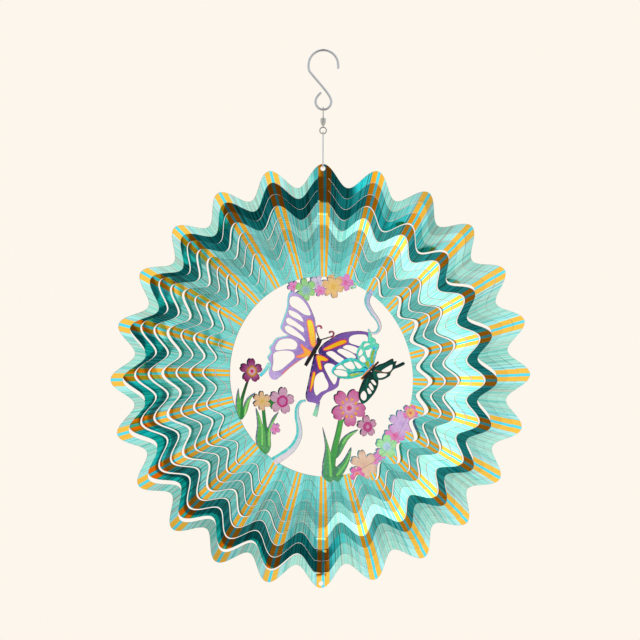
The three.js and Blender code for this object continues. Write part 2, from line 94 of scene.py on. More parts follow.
# ---- curves and outlines ----------------------------------------------------------------------------
def curve(points, closed=True, per_span=6):
    """Centripetal Catmull-Rom curve through the points, one row for each point of the curve."""
    p = np.asarray(points, float)
    count = len(p)
    rows = []
    for i in range(count if closed else count - 1):
        if closed:
            a, b, c, d = (p[(i + k) % count] for k in (-1, 0, 1, 2))
        else:
            b, c = p[i], p[i + 1]
            a = p[i - 1] if i else 2 * b - c
            d = p[i + 2] if i + 2 < count else 2 * c - b
        ta, tb, tc = (math.dist(u, v) ** 0.5 for u, v in ((a, b), (b, c), (c, d)))
        start = ((b - a) / ta - (c - a) / (ta + tb) + (c - b) / tb) * tb
        end = ((c - b) / tb - (d - b) / (tb + tc) + (d - c) / tc) * tb
        for t in np.arange(per_span) / per_span:
            rows.append((2 * t**3 - 3 * t**2 + 1) * b + (t**3 - 2 * t**2 + t) * start
                        + (3 * t**2 - 2 * t**3) * c + (t**3 - t**2) * end)
    return np.array(rows if closed else rows + [p[-1]])


def grown(outline, by):
    """A closed outline with every corner moved outwards."""
    before, after = np.roll(outline, 1, 0), np.roll(outline, -1, 0)
    winding = (outline[:, 0] * after[:, 1] - after[:, 0] * outline[:, 1]).sum()
    along = after - before
    along /= np.linalg.norm(along, axis=1)[:, None]
    return outline + by * math.copysign(1, winding) * np.stack([along[:, 1], -along[:, 0]], 1)


def circle(radius, sides, x=0, z=0):
    angle = np.arange(sides) / sides * math.tau
    return np.stack([x + radius * np.cos(angle), z + radius * np.sin(angle)], 1)


def area(paint, *points):
    """An area of one paint with a smooth outline."""
    return curve(points), paint, None


def band(paint, points, start, end):
    """A stroke along a line whose width goes from start to end."""
    line = curve(points, False)
    along = np.gradient(line, axis=0)
    across = np.stack([-along[:, 1], along[:, 0]], 1) / np.linalg.norm(along, axis=1)[:, None]
    half = np.linspace(start, end, len(line))[:, None] / 2
    return np.concatenate([line + half * across, (line - half * across)[::-1]]), paint, None


def flower(paint, x, z, radius, petals, turn=0):
    """A blossom seen face on, and the frame its print is drawn in."""
    step = np.arange(petals * PETAL_STATIONS)
    angle = math.radians(turn) + step / len(step) * math.tau
    across = step % PETAL_STATIONS / PETAL_STATIONS - 0.5
    petal = 0.48 * np.cos(math.pi * across) ** 0.7
    notch = 0.1 * np.exp(-((across / 0.07) ** 2))
    reach = radius * (0.54 + petal - notch)
    outline = np.stack([x + reach * np.cos(angle), z + reach * np.sin(angle)], 1)
    return outline, paint, (x, z, radius, petals, turn)


def moved(shape, by):
    outline, paint, drawing = shape
    if drawing:
        drawing = (drawing[0] + by[0], drawing[1] + by[1], *drawing[2:])
    return outline + np.array(by), paint, drawing


def inside(outline, points):
    """Which of the points lie in a closed outline."""
    x, z = points[:, :1], points[:, 1:]
    a, b = outline, np.roll(outline, -1, 0)
    rise = np.where(b[:, 1] == a[:, 1], 1, b[:, 1] - a[:, 1])
    crosses = (a[:, 1] > z) != (b[:, 1] > z)
    at = a[:, 0] + (z - a[:, 1]) / rise * (b[:, 0] - a[:, 0])
    return (crosses & (x < at)).sum(1) % 2 == 1


# ---- shader graphs ----------------------------------------------------------------------------------
def srgb(text):
    channels = [int(text[i:i + 2], 16) / 255 for i in (0, 2, 4)]
    return [c / 12.92 if c <= 0.04045 else ((c + 0.055) / 1.055) ** 2.4 for c in channels] + [1]


class Wiring:
    """Short ways to wire a node tree."""

    def __init__(self, tree):
        self.tree = tree

    def node(self, kind, inputs=(), **settings):
        made = self.tree.nodes.new(kind)
        for key, value in settings.items():
            setattr(made, key, value)
        for key, value in dict(inputs).items():
            self.feed(made.inputs[key], value)
        return made

    def feed(self, socket, value):
        if isinstance(value, bpy.types.NodeSocket):
            self.tree.links.new(value, socket)
        else:
            socket.default_value = value

    def math(self, operation, *values):
        made = self.node("ShaderNodeMath", enumerate(values), operation=operation)
        return made.outputs[0]

    def mix(self, factor, a, b, blend="MIX"):
        made = self.node("ShaderNodeMix", {0: factor, 6: a, 7: b}, data_type="RGBA", blend_type=blend)
        return made.outputs[2]

    def between(self, value, low, high, start=0.0, end=1.0):
        """value as it goes from low to high, mapped to start..end and held there."""
        made = self.node("ShaderNodeMapRange", {0: value, 1: low, 2: high, 3: start, 4: end})
        return made.outputs[0]

    def ramp(self, value, stops, interpolation="LINEAR"):
        made = self.node("ShaderNodeValToRGB", {0: value})
        made.color_ramp.interpolation = interpolation
        elements = made.color_ramp.elements
        while len(elements) > 1:
            elements.remove(elements[-1])
        for i, (at, colour) in enumerate(stops):
            element = elements[0] if i == 0 else elements.new(at)
            element.position = at
            element.color = srgb(colour) if isinstance(colour, str) else [colour] * 3 + [1]
        return made.outputs[0]

    def noise(self, x, y, z=0.0, detail=2.0):
        place = self.node("ShaderNodeCombineXYZ", {0: x, 1: y, 2: z}).outputs[0]
        made = self.node("ShaderNodeTexNoise", {"Vector": place, "Scale": 1.0, "Detail": detail})
        return made.outputs["Fac"]

    def attribute(self, name):
        """The x, y and z of a vector stored on the mesh."""
        stored = self.node("ShaderNodeAttribute", attribute_name=name).outputs["Vector"]
        return self.node("ShaderNodeSeparateXYZ", {0: stored}).outputs


class Graph(Wiring):
    """A material and its shader."""

    def __init__(self, name):
        self.material = bpy.data.materials.new(name)
        self.material.use_nodes = True
        super().__init__(self.material.node_tree)
        self.shader = self.tree.nodes["Principled BSDF"]

    def finish(self, colour, metallic, roughness, height=None, distance=0.0):
        self.feed(self.shader.inputs["Base Color"], colour)
        self.feed(self.shader.inputs["Metallic"], metallic)
        self.feed(self.shader.inputs["Roughness"], roughness)
        if height is not None:
            bump = self.node("ShaderNodeBump", {"Height": height, "Distance": distance})
            self.feed(self.shader.inputs["Normal"], bump.outputs[0])
        return self.material


def brushed(graph, x, z, colour, strength=0.24):
    """The sheet's fine horizontal brushing, seen through the print: colour, roughness and relief."""
    streak = graph.noise(graph.math("MULTIPLY", x, 0.05), graph.math("MULTIPLY", z, 3.2), 0.0, 3.0)
    cloud = graph.noise(graph.math("MULTIPLY", x, 0.035), graph.math("MULTIPLY", z, 0.035), 7.0, 1.0)
    shade = graph.between(streak, 0.3, 0.7, 1 - strength, 1.0)
    grey = graph.node("ShaderNodeCombineColor", {0: shade, 1: shade, 2: shade}).outputs[0]
    relief = graph.math("ADD", cloud, graph.math("MULTIPLY", streak, 0.004))
    return graph.mix(1.0, colour, grey, "MULTIPLY"), streak, relief


LINE_EDGE, STRIPE_EDGE = 0.39, 1.83   # degrees off a wave's middle: cyan line, orange stripes
GLOW_EDGE, FADE_EDGE = 2.6, 3.8       # and where the ground beside them has faded
RAYS, BEAMS = 1.8, 1.7                # fine rays and lighter beams for each degree


def ring_print():
    """Radial print: a cyan line between two orange stripes on every wave, fine rays between them, made paler
    or darker by painted sheen, the mirrored light and shade painted into the colour.
    """
    graph = Graph("ring_print")
    x, z, painted_sheen = graph.attribute("sheet")
    across = graph.math("SUBTRACT", x, PRINT_SHIFT[0])
    turn = graph.math("MULTIPLY", graph.math("ARCTAN2", z, across), LOBES / math.tau)
    off_axis = graph.math("ABSOLUTE", graph.math("WRAP", turn, 0.5, -0.5))
    radius = graph.math("SQRT", graph.math("ADD", graph.math("MULTIPLY", across, across),
                                           graph.math("MULTIPLY", z, z)))
    degrees = graph.math("MULTIPLY", turn, 360 / LOBES)
    half_lobe = 180 / LOBES
    out = graph.math("MULTIPLY", off_axis, 2)
    glow, fade = GLOW_EDGE / half_lobe, FADE_EDGE / half_lobe
    # the ground's colour three times: in painted shade, plain, and in painted highlight, blended by the
    # painted sheen
    shaded_ground = graph.ramp(out, [(0, "48ECF4"), (glow, "3CE6EC"), (1, "2CDCDC")])
    deep = graph.ramp(out, [(0, "86F2F6"), (glow, "7AECEE"), (fade, "62DED8"), (1, "58D6CE")])
    pale = graph.ramp(out, [(0, "C4FAFA"), (glow, "BCF6F2"), (fade, "BAEEDE"), (1, "B4EAD8")])
    ground = graph.mix(graph.between(painted_sheen, -1.0, 0.0), shaded_ground, graph.mix(painted_sheen, deep, pale))
    fine = graph.noise(graph.math("MULTIPLY", degrees, RAYS), graph.math("MULTIPLY", radius, 0.012), 3.0)
    rays = graph.ramp(fine, [(0.30, "0FB4BE"), (0.41, "4CCCC8"), (0.46, "F0FFFF"), (0.55, "FFFFFF"),
                             (0.60, "DCBAB0"), (0.68, "B4948A")])
    # the printed rays fade where the painted sheen is bright
    ground = graph.mix(graph.between(painted_sheen, 0.0, 1.0, 0.95, 0.42), ground, rays, "MULTIPLY")
    beams = graph.noise(graph.math("MULTIPLY", degrees, BEAMS), 0.0, 9.0, 0.0)
    lit = graph.between(beams, 0.54, 0.66, 0.0, 0.5)
    # the lighter beams are print, left out where the painted sheen is dark
    ground = graph.mix(graph.math("MULTIPLY", lit, graph.between(painted_sheen, -0.6, 0.1)), ground, srgb("CFC8BE"))
    stripes = graph.ramp(out, [(0, 1.0), (LINE_EDGE / half_lobe, 0.0), (STRIPE_EDGE / half_lobe, 1.0)],
                         "CONSTANT")
    centre = graph.math("LESS_THAN", off_axis, LINE_EDGE / (2 * half_lobe))
    # the orange stripes, paler in painted highlight and deeper in painted shade
    orange = graph.mix(painted_sheen, srgb("FAB428"), srgb("FCCA52"))
    orange = graph.mix(graph.between(painted_sheen, -1.0, 0.0), srgb("FF9800"), orange)
    colour = graph.mix(stripes, orange, ground)
    colour = graph.mix(centre, colour, srgb("5CE4F6"))
    colour, streak, relief = brushed(graph, x, z, colour)
    rough = graph.between(streak, 0.3, 0.7, 0.07, 0.13)
    return graph.finish(colour, 1.0, rough, relief, 0.00003)


def gradient_print(name, start, end, from_point, to_point, metallic=0.85, mottle="FFFFFF"):
    """A wash from one colour to another between two points of the sheet, with a soft mottle."""
    graph = Graph(name)
    x, z, _ = graph.attribute("sheet")
    dx, dz = to_point[0] - from_point[0], to_point[1] - from_point[1]
    length = dx * dx + dz * dz
    along = graph.math("ADD", graph.math("MULTIPLY", graph.math("SUBTRACT", x, from_point[0]), dx / length),
                       graph.math("MULTIPLY", graph.math("SUBTRACT", z, from_point[1]), dz / length))
    colour = graph.mix(graph.between(along, 0, 1), srgb(start), srgb(end))
    blot = graph.noise(graph.math("MULTIPLY", x, 0.45), graph.math("MULTIPLY", z, 0.45), 2.0, 2.0)
    colour = graph.mix(graph.between(blot, 0.5, 0.75, 0.0, 0.35), colour, srgb(mottle))
    colour, streak, relief = brushed(graph, x, z, colour, 0.2)
    return graph.finish(colour, metallic, graph.between(streak, 0.3, 0.7, 0.2, 0.3), relief, 0.00002)


def flower_print(name, stops, dark, dotted):
    """A blossom's print, drawn in its own frame: rings of colour from its heart out, petals and veins."""
    graph = Graph(name)
    x, z, _ = graph.attribute("sheet")
    u, v, petals = graph.attribute("drawing")
    radius = graph.math("SQRT", graph.math("ADD", graph.math("MULTIPLY", u, u), graph.math("MULTIPLY", v, v)))
    turn = graph.math("MULTIPLY", graph.math("ARCTAN2", v, u), graph.math("DIVIDE", petals, math.tau))
    off_notch = graph.math("ABSOLUTE", graph.math("WRAP", turn, 0.5, -0.5))
    wobble = graph.noise(graph.math("MULTIPLY", turn, 3.0), graph.math("MULTIPLY", radius, 2.0), 1.0, 2.0)
    reach = graph.math("ADD", radius, graph.between(wobble, 0.2, 0.8, -0.05, 0.05))
    colour = graph.ramp(reach, stops)
    veins = graph.noise(graph.math("MULTIPLY", turn, 14.0), graph.math("MULTIPLY", radius, 3.0), 5.0, 1.0)
    colour = graph.mix(graph.between(veins, 0.5, 0.72, 0.0, 0.4), colour, srgb(dark))
    gap = graph.math("MULTIPLY", graph.between(off_notch, 0.015, 0.075, 0.75, 0.0),
                     graph.between(radius, 0.34, 0.5))
    colour = graph.mix(gap, colour, srgb(dark))
    if dotted:
        dots = graph.math("SINE", graph.math("MULTIPLY", turn, math.tau * 2))
        ring = graph.math("MULTIPLY", graph.between(dots, 0.1, 0.5),
                          graph.math("MULTIPLY", graph.between(radius, 0.36, 0.40),
                                     graph.between(radius, 0.54, 0.50)))
        colour = graph.mix(ring, colour, srgb("F0A92E"))
    colour, streak, relief = brushed(graph, x, z, colour, 0.2)
    return graph.finish(colour, 0.8, graph.between(streak, 0.3, 0.7, 0.22, 0.32), relief, 0.00002)


def steel(name, colour, roughness, scratch):
    """Bare metal with drawing lines and light handling marks."""
    graph = Graph(name)
    place = graph.node("ShaderNodeTexCoord").outputs["Object"]
    x, y, z = graph.node("ShaderNodeSeparateXYZ", {0: place}).outputs
    marks = graph.noise(graph.math("MULTIPLY", x, 900.0), graph.math("MULTIPLY", z, 900.0),
                        graph.math("MULTIPLY", y, 900.0), 4.0)
    shade = graph.between(marks, 0.35, 0.75, 1.0, 0.86)
    grey = graph.node("ShaderNodeCombineColor", {0: shade, 1: shade, 2: shade}).outputs[0]
    body = graph.mix(1.0, srgb(colour), grey, "MULTIPLY")
    rough = graph.between(marks, 0.3, 0.75, roughness, roughness + 0.16)
    return graph.finish(body, 1.0, rough, marks, scratch)


PAINTS = {
    "ring_print": ring_print(),
    "cut_edge": steel("cut_edge", "6E5D5A", 0.35, 0.000004),
}
WASHES = {  # colour from, colour to, point from, point to, how metallic, mottle
    "wing_lilac": ("C8AEE8", "8A68B8", (-36, 30), (-6, 18), 0.8, "E2D2F2"),
    "wing_tail": ("D0B4EC", "B79AD8", (-44, 0), (-30, 6), 0.8),
    "aqua_edge": ("8CF0DC", "6FD9E6", (-40, -4), (-24, 55), 0.8),
    "wing_purple": ("2A1A66", "7A58A8", (-3, 14), (20, 24), 0.85, "8E6CB8"),
    "wing_plum": ("4A2E80", "8A66B4", (-8, 8), (4, -12), 0.85, "9C7CC4"),
    "navy_edge": ("1B1450", "7A2F7E", (-4, 14), (36, 24), 0.85),
    "tail_mint": ("7B59B5", "93DDB4", (-3, -17), (-5, -24), 0.8),
    "core_yellow": ("FFAE3A", "FFE63C", (-9, 22), (-10, 36), 0.7, "FFEE8A"),
    "core_gold": ("FFC400", "F0B400", (-4, 6), (18, 26), 0.75, "FFDA3A"),
    "core_line": ("FF7A78", "C81464", (-12, 20), (2, 12), 0.75, "E05A8A"),
    "body_black": ("17131A", "060508", (-2, 26), (-10, 8), 0.6, "2A2430"),
    "antenna": ("15261F", "B3245E", (-2.4, 28), (-1, 34), 0.7),
    "antenna_right": ("15261F", "9A1F50", (3, 27), (9, 29.5), 0.7),
    "strand_cyan": ("A6F2E4", "37D3E6", (-40, 8), (-47, -1), 0.8),
    "wing_teal": ("33BFA9", "3FD6C4", (12, 2), (34, 24), 0.85),
    "wing_mint": ("35C8C0", "62DCB4", (38, 8), (32, 28), 0.85),
    "vein_cyan": ("2AD2E6", "12B4E6", (20, 4), (38, 8), 0.85),
    "lime": ("A9C43C", "8CB42E", (20, 2), (40, 12), 0.8),
    "wing_green": ("0C5648", "07302F", (42, 4), (60, 10), 0.85, "0F6E58"),
    "wing_bottle": ("06302A", "0A5A4C", (38, 0), (32, -18), 0.85, "0E7050"),
    "night_edge": ("04100F", "04191A", (38, 4), (58, 10), 0.8, "0A0A10"),
    "body_orange": ("E8902A", "8A3A1C", (34, 0), (44, 9), 0.75),
    "ink": ("0D2F38", "123F48", (-60, 0), (60, 0), 0.8, "0B2230"),
    "slate_edge": ("3E5E86", "2F8E96", (-30, 60), (70, -30), 0.8),
    "leaf": ("5DB650", "4A9C66", (0, -30), (0, -66), 0.7, "A8C8A8"),
    "leaf_light": ("9CE07C", "74CC66", (0, -30), (0, -66), 0.7, "C8EEB0"),
    "leaf_shade": ("2F7F3C", "4A8A5E", (0, -20), (0, -60), 0.7, "7F7C98"),
    "leaf_edge": ("6C6F92", "4F6E80", (-60, -40), (20, -50), 0.75),
    "stem_dark": ("06220E", "2E8A3E", (0, -4), (0, -24), 0.7, "0E5A1E"),
    "stem": ("4FAE45", "3C9A4E", (0, -28), (0, -60), 0.7, "7CCB5A"),
    "swirl_edge": ("52D6D0", "7CC4CC", (-30, -40), (40, 60), 0.85),
    "swirl_heart": ("B9D9E2", "E9DEE6", (-10, -24), (-30, -56), 0.85, "FFFFFF"),
    "swirl_lilac": ("A7B8D8", "E6D9DE", (36, 60), (41, 36), 0.85, "F4F1F4"),
}
for paint_name, wash in WASHES.items():
    PAINTS[paint_name] = gradient_print(paint_name, *wash)
FLOWERS = {  # colours from the heart out, and the colour of notches and veins
    "petal_magenta": ([(0, "C42457"), (0.13, "E0406E"), (0.17, "E9C3CF"), (0.27, "C9A0B0"), (0.33, "D6982F"),
                       (0.42, "C27A3C"), (0.5, "A8578F"), (0.8, "92306B"), (1, "74164E")], "4A1238"),
    "petal_rose": ([(0, "C93C62"), (0.12, "DC5C86"), (0.16, "E5B4C9"), (0.3, "D49ABA"), (0.5, "D486AE"),
                    (0.8, "CE70A2"), (1, "D0508C")], "A6508A"),
    "petal_mauve": ([(0, "CC86B4"), (0.26, "C878AC"), (0.3, "C01F78"), (0.4, "C01F78"), (0.44, "D3A4BE"),
                     (0.8, "D2A5BC"), (1, "C58AA8")], "A0708E"),
    "petal_dusk": ([(0, "C9A0B4"), (0.14, "D08CB0"), (0.22, "C23F80"), (0.42, "B84A86"), (0.48, "CE9AB4"),
                    (0.8, "CB98AF"), (1, "B87A98")], "8F5F7E"),
    "petal_cream": ([(0, "D9B04E"), (0.2, "E4C070"), (0.5, "E9C392"), (0.8, "E7BD92"), (1, "D9A77C")],
                    "C48A72"),
    "petal_pink": ([(0, "E0508A"), (0.16, "E67AAE"), (0.4, "E695CC"), (0.8, "E390CE"), (1, "D277BC")],
                   "C268AE"),
    "petal_lilac": ([(0, "C9A2DC"), (0.3, "D8BCE6"), (0.7, "DDB4E0"), (1, "C9A6DC")], "B08CCB"),
    "petal_pearl": ([(0, "BDA6D6"), (0.3, "D3CBE0"), (0.7, "DCD2E2"), (1, "C0B2D2")], "A894C4"),
    "petal_mint": ([(0, "AFCBE8"), (0.3, "BEE0EA"), (0.42, "A9E8B4"), (0.8, "B2EDA8"), (1, "86D67E")],
                   "78C07E"),
    "petal_leaf": ([(0, "8FB6CF"), (0.3, "9CC8C4"), (0.5, "A2DA94"), (0.8, "A0DE86"), (1, "7CCB60")],
                   "74B266"),
    "petal_peach": ([(0, "E8B24A"), (0.25, "EFC873"), (0.6, "EFC68C"), (1, "E2B07A")], "CE9560"),
    "petal_shell": ([(0, "E4B8A4"), (0.3, "EBC8AC"), (0.7, "EBCDB4"), (1, "DDAE94")], "CF9B8A"),
    "petal_sunrise": ([(0, "D8405A"), (0.14, "E87A6A"), (0.22, "F2C46C"), (0.5, "F0BE88"), (0.62, "E68CBE"),
                       (1, "E070B4")], "CC5C9E"),
    "petal_candy": ([(0, "E0404E"), (0.16, "F0905C"), (0.3, "F0A0B0"), (0.5, "EC82B8"), (1, "E56AB0")],
                    "C84C98"),
}
for paint_name, (stops, dark) in FLOWERS.items():
    PAINTS[paint_name] = flower_print(paint_name, stops, dark, paint_name == "petal_rose")
CHROME = steel("chrome", "C9CCD0", 0.1, 0.000003)
NICKEL = steel("nickel", "B4B4B0", 0.12, 0.000003)


# ---- sheet metal ------------------------------------------------------------------------------------
def lean(flat):
    """From -1 at a ring's left to 1 at its right, through 0 on the centre line, sharply at the bottom."""
    side, height = (flat / np.maximum(np.linalg.norm(flat, axis=1), WINDOW)[:, None]).T
    sharpness = 1 + LOWER_CREASE * np.maximum(0, -height)
    return np.tanh(sharpness * side) / np.tanh(sharpness), side, height


def ring_angles(number, flat):
    """How far each point of a flat sheet is turned, when the sheet is that ring or hangs in it."""
    leaning, side, height = lean(flat)
    turn = RING_TURNS[number - 1] + RING_WARPS[number - 1] * leaning
    if number == 1:
        dip = np.exp(-(((flat[:, 0] - DIP_X) / DIP_SPREAD) ** 2)) * np.maximum(0, height)
        turn = turn + 2 * OUTER_TWIST * side * height + OUTER_DIP * dip
    return np.radians(turn)


def sheet_rows(number, flat):
    """Where points lie in the flat sheet, and the painted sheen there: light and shade mirrored at rest
    towards an eye in front, painted into the print as paler or darker colour.
    """
    mirrored = np.degrees(2 * ring_angles(number, flat) - flat[:, 0] / VIEWER)
    return np.column_stack([flat, np.interp(mirrored, *zip(*PAINTED_SHEEN_BY_ANGLE))])


def bent(flat, depth, angles):
    """Flat points at a depth behind the sheet's middle, turned and set in the frame, in metres."""
    x, z = flat.T
    return np.stack([x * np.cos(angles) + depth * np.sin(angles),
                     depth * np.cos(angles) - x * np.sin(angles), z + DISC_CENTRE], 1) * MM


def mesh_object(name, corners, faces, materials, indices, smooth, attributes):
    """A mesh object. attributes: name, domain and rows of three numbers."""
    mesh = bpy.data.meshes.new(name)
    mesh.from_pydata([tuple(c) for c in corners], [], [tuple(int(i) for i in f) for f in faces])
    for material in materials:
        mesh.materials.append(material)
    mesh.polygons.foreach_set("material_index", np.asarray(indices, np.int32))
    mesh.polygons.foreach_set("use_smooth", np.asarray(smooth, bool))
    for key, domain, rows in attributes:
        stored = mesh.attributes.new(key, "FLOAT_VECTOR", domain)
        stored.data.foreach_set("vector", np.asarray(rows, np.float32).ravel())
    mesh.validate()
    mesh.set_sharp_from_angle(angle=CREASE)
    made = bpy.data.objects.new(name, mesh)
    bpy.context.scene.collection.objects.link(made)
    return made


def divided(loops):
    """Triangles over all the loops, counter-clockwise, with every loop's edges kept."""
    corners, edges = [], []
    for loop in loops:
        first = len(corners)
        corners += [Vector(point) for point in loop]
        edges += [(first + i, first + (i + 1) % len(loop)) for i in range(len(loop))]
    points, _, faces, *_ = delaunay_2d_cdt(corners, edges, [], 0, WELD)
    flat, triangles = np.array(points, float), np.array(faces)
    a, b, c = (flat[triangles[:, i]] for i in range(3))
    turned = (b - a)[:, 0] * (c - a)[:, 1] - (b - a)[:, 1] * (c - a)[:, 0] < 0
    triangles[turned] = triangles[turned][:, ::-1]
    return flat, triangles


def drawing_rows(points, drawing):
    """Where points lie in a blossom's own frame, and how many petals it has."""
    if drawing is None:
        return np.zeros((len(points), 3))
    x, z, radius, petals, turn = drawing
    angle = -math.radians(turn)
    u, v = (points - [x, z]).T / radius
    return np.stack([u * math.cos(angle) - v * math.sin(angle), u * math.sin(angle) + v * math.cos(angle),
                     np.full(len(points), petals)], 1)


def sheet_object(name, number, bounds, paints=(), cells=(), limit=None, seam=None):
    """Sheet metal cut to the bounds, less the cells, and printed with the paints, topmost first."""
    shapes = [*paints, *bounds]
    loops = [shape[0] for shape in shapes] + list(cells) + ([limit] if limit is not None else [])
    flat, triangles = divided(loops)
    middles = flat[triangles].mean(1)
    kept = np.any([inside(outline, middles) for outline, _, _ in bounds], axis=0)
    for cell in cells:
        kept &= ~inside(cell, middles)
    if limit is not None:
        kept &= inside(limit, middles)
    triangles, middles = triangles[kept], middles[kept]
    names = ["cut_edge"]
    index = np.zeros(len(triangles), int)
    drawn = np.zeros((len(triangles), 3, 3))
    for outline, paint, drawing in reversed(shapes):
        covered = inside(outline, middles)
        if not covered.any():
            continue
        if paint not in names:
            names.append(paint)
        index[covered] = names.index(paint)
        drawn[covered] = drawing_rows(flat[triangles[covered]].reshape(-1, 2), drawing).reshape(-1, 3, 3)
    return thickened(name, number, flat, triangles, [PAINTS[n] for n in names], index, drawn, seam)


def thickened(name, number, flat, triangles, materials, index, drawn, seam):
    """Gives flat triangles their thickness, with both edges of every cut face broken."""
    used, triangles = np.unique(triangles, return_inverse=True)
    triangles = triangles.reshape(-1, 3)
    flat = flat[used]
    pairs = np.concatenate([triangles[:, [0, 1]], triangles[:, [1, 2]], triangles[:, [2, 0]]])
    known = {(a, b) for a, b in pairs.tolist()}
    edges = np.array([(a, b) for a, b in pairs.tolist() if (b, a) not in known])
    along = flat[edges[:, 1]] - flat[edges[:, 0]]
    facing = np.stack([along[:, 1], -along[:, 0]], 1) / np.linalg.norm(along, axis=1)[:, None]
    outward = np.zeros_like(flat)
    for end in (0, 1):
        np.add.at(outward, edges[:, end], facing)
    outward /= np.maximum(np.linalg.norm(outward, axis=1)[:, None], 1e-9)
    if seam is not None:
        outward[seam(flat)] = 0
    angles = ring_angles(number, flat)
    half, count = SHEET / 2, len(flat)
    levels = [(-half, -RIM), (RIM - half, 0), (half - RIM, 0), (half, -RIM)]
    corners = np.concatenate([bent(flat + outward * inset, depth, angles) for depth, inset in levels])
    front, back = triangles, triangles[:, ::-1] + 3 * count
    a, b = edges.T
    rims = [np.stack([a + k * count, a + (k + 1) * count, b + (k + 1) * count, b + k * count], 1)
            for k in range(3)]
    faces = [*front, *back, *np.concatenate(rims)]
    flags = [True] * (2 * len(triangles)) + [False] * (3 * len(edges))
    indices = [*index, *index] + [0] * (3 * len(edges))
    drawing = np.concatenate([drawn.reshape(-1, 3), drawn[:, ::-1].reshape(-1, 3),
                              np.zeros((12 * len(edges), 3))])
    # the sheet attribute carries the painted sheen as its third number
    sheet = np.concatenate([sheet_rows(number, flat)] * 4)
    made = mesh_object(name, corners, faces, materials, indices, flags,
                       [("sheet", "POINT", sheet), ("drawing", "CORNER", drawing)])
    trim_loose(made)
    return made


def trim_loose(piece):
    """Drops the corners that no face uses."""
    mesh = piece.data
    used = {i for polygon in mesh.polygons for i in polygon.vertices}
    work = bmesh.new()
    work.from_mesh(mesh)
    work.verts.ensure_lookup_table()
    bmesh.ops.delete(work, geom=[v for v in work.verts if v.index not in used], context="VERTS")
    work.to_mesh(mesh)
    work.free()


# ---- the rings --------------------------------------------------------------------------------------
def edge_radius(cut, angle):
    tip = DISC_TIP - TIP_STEP * cut
    trough = DISC_TROUGH - TROUGH_STEP * cut
    return (tip + trough) / 2 + (tip - trough) / 2 * np.cos(LOBES * (angle - math.pi / 2))


def bridge_levels(cut):
    """Heights above the centre where a bridge over that cut begins and ends, and the cut's at its sides."""
    angle = math.pi / 2
    for _ in range(20):
        angle = math.acos(BRIDGE / edge_radius(cut, angle))
    side = edge_radius(cut, angle) * math.sin(angle)
    return side - BRIDGE_SEAM, DISC_TIP - TIP_STEP * cut + BRIDGE_SEAM, side


def wavy_edge(cut, shift, level=None):
    """One wavy edge of the disc. With a level, it steps to it where a bridge crosses the cut."""
    steps = LOBES * STATIONS
    angle = math.pi / 2 + (np.arange(steps) + 0.5) / steps * math.tau
    radius = edge_radius(cut, angle) + shift
    points = np.stack([radius * np.cos(angle), radius * np.sin(angle)], 1)
    if level is None:
        return points
    side = bridge_levels(cut)[2] + shift
    step = [(-BRIDGE, side), (-BRIDGE, level), (BRIDGE, level), (BRIDGE, side)]
    left = points[points[:, 0] < -BRIDGE - 0.2]
    right = points[points[:, 0] > BRIDGE + 0.2]
    right = right[np.argsort(np.arctan2(right[:, 1], right[:, 0]))]
    lower = [(-x, -z) for x, z in step]
    return np.array([*left, *lower, *right, *step[::-1]])


def on_bridge(flat):
    return np.abs(flat[:, 0]) < BRIDGE + 0.01


def ring_shape(number):
    outer = (wavy_edge(0, 0) if number == 1 else
             wavy_edge(number - 1, -KERF / 2, bridge_levels(number - 1)[0]))
    cells = [circle(WINDOW, LOBES * STATIONS) if number == RINGS else
             wavy_edge(number, KERF / 2, bridge_levels(number)[1])]
    if number == 1:
        cells += [circle(HOLE_RADIUS, 40, 0, z) for z in (DISC_TIP - HOLE_INSET, HOLE_INSET - DISC_TIP)]
    return outer, cells


def bridge_object(cut, side):
    """The twisted web between two rings, over the cut between them."""
    low, high, _ = bridge_levels(cut)
    across, rise = np.linspace(-BRIDGE, BRIDGE, 7), np.linspace(0, 1, 13)
    grid = np.array([(x * side, (low + (high - low) * t) * side) for t in rise for x in across])
    share = np.repeat(rise, len(across))
    share = share * share * (3 - 2 * share)
    angles = ring_angles(cut + 1, grid) * (1 - share) + ring_angles(cut, grid) * share
    corners = np.concatenate([bent(grid, depth, angles) for depth in (-SHEET / 2, SHEET / 2)])
    wide, tall, count = len(across), len(rise), len(grid)
    faces = []
    for j in range(tall - 1):
        for i in range(wide - 1):
            a = j * wide + i
            cell = (a, a + 1, a + 1 + wide, a + wide)
            faces += [cell, tuple(k + count for k in reversed(cell))]
    loop = [*range(wide), *(j * wide + wide - 1 for j in range(1, tall)),
            *(count - 1 - i for i in range(1, wide)), *(j * wide for j in range(tall - 2, 0, -1))]
    for a, b in zip(loop, loop[1:] + loop[:1]):
        faces.append((a, a + count, b + count, b))
    printed = 2 * (wide - 1) * (tall - 1)
    # the sheet attribute carries the painted sheen as its third number
    sheet = np.concatenate([sheet_rows(cut + 1, grid)] * 2)
    where = "top" if side > 0 else "bottom"
    made = mesh_object(f"bridge_{cut}_{where}", corners, faces, [PAINTS["ring_print"], PAINTS["cut_edge"]],
                       [0] * printed + [1] * len(loop), [True] * printed + [False] * len(loop),
                       [("sheet", "POINT", sheet)])
    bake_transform(made)


# ---- the scene in the window ------------------------------------------------------------------------
CORE_LINE = 0.75               # the red line round each bright core of the large wings


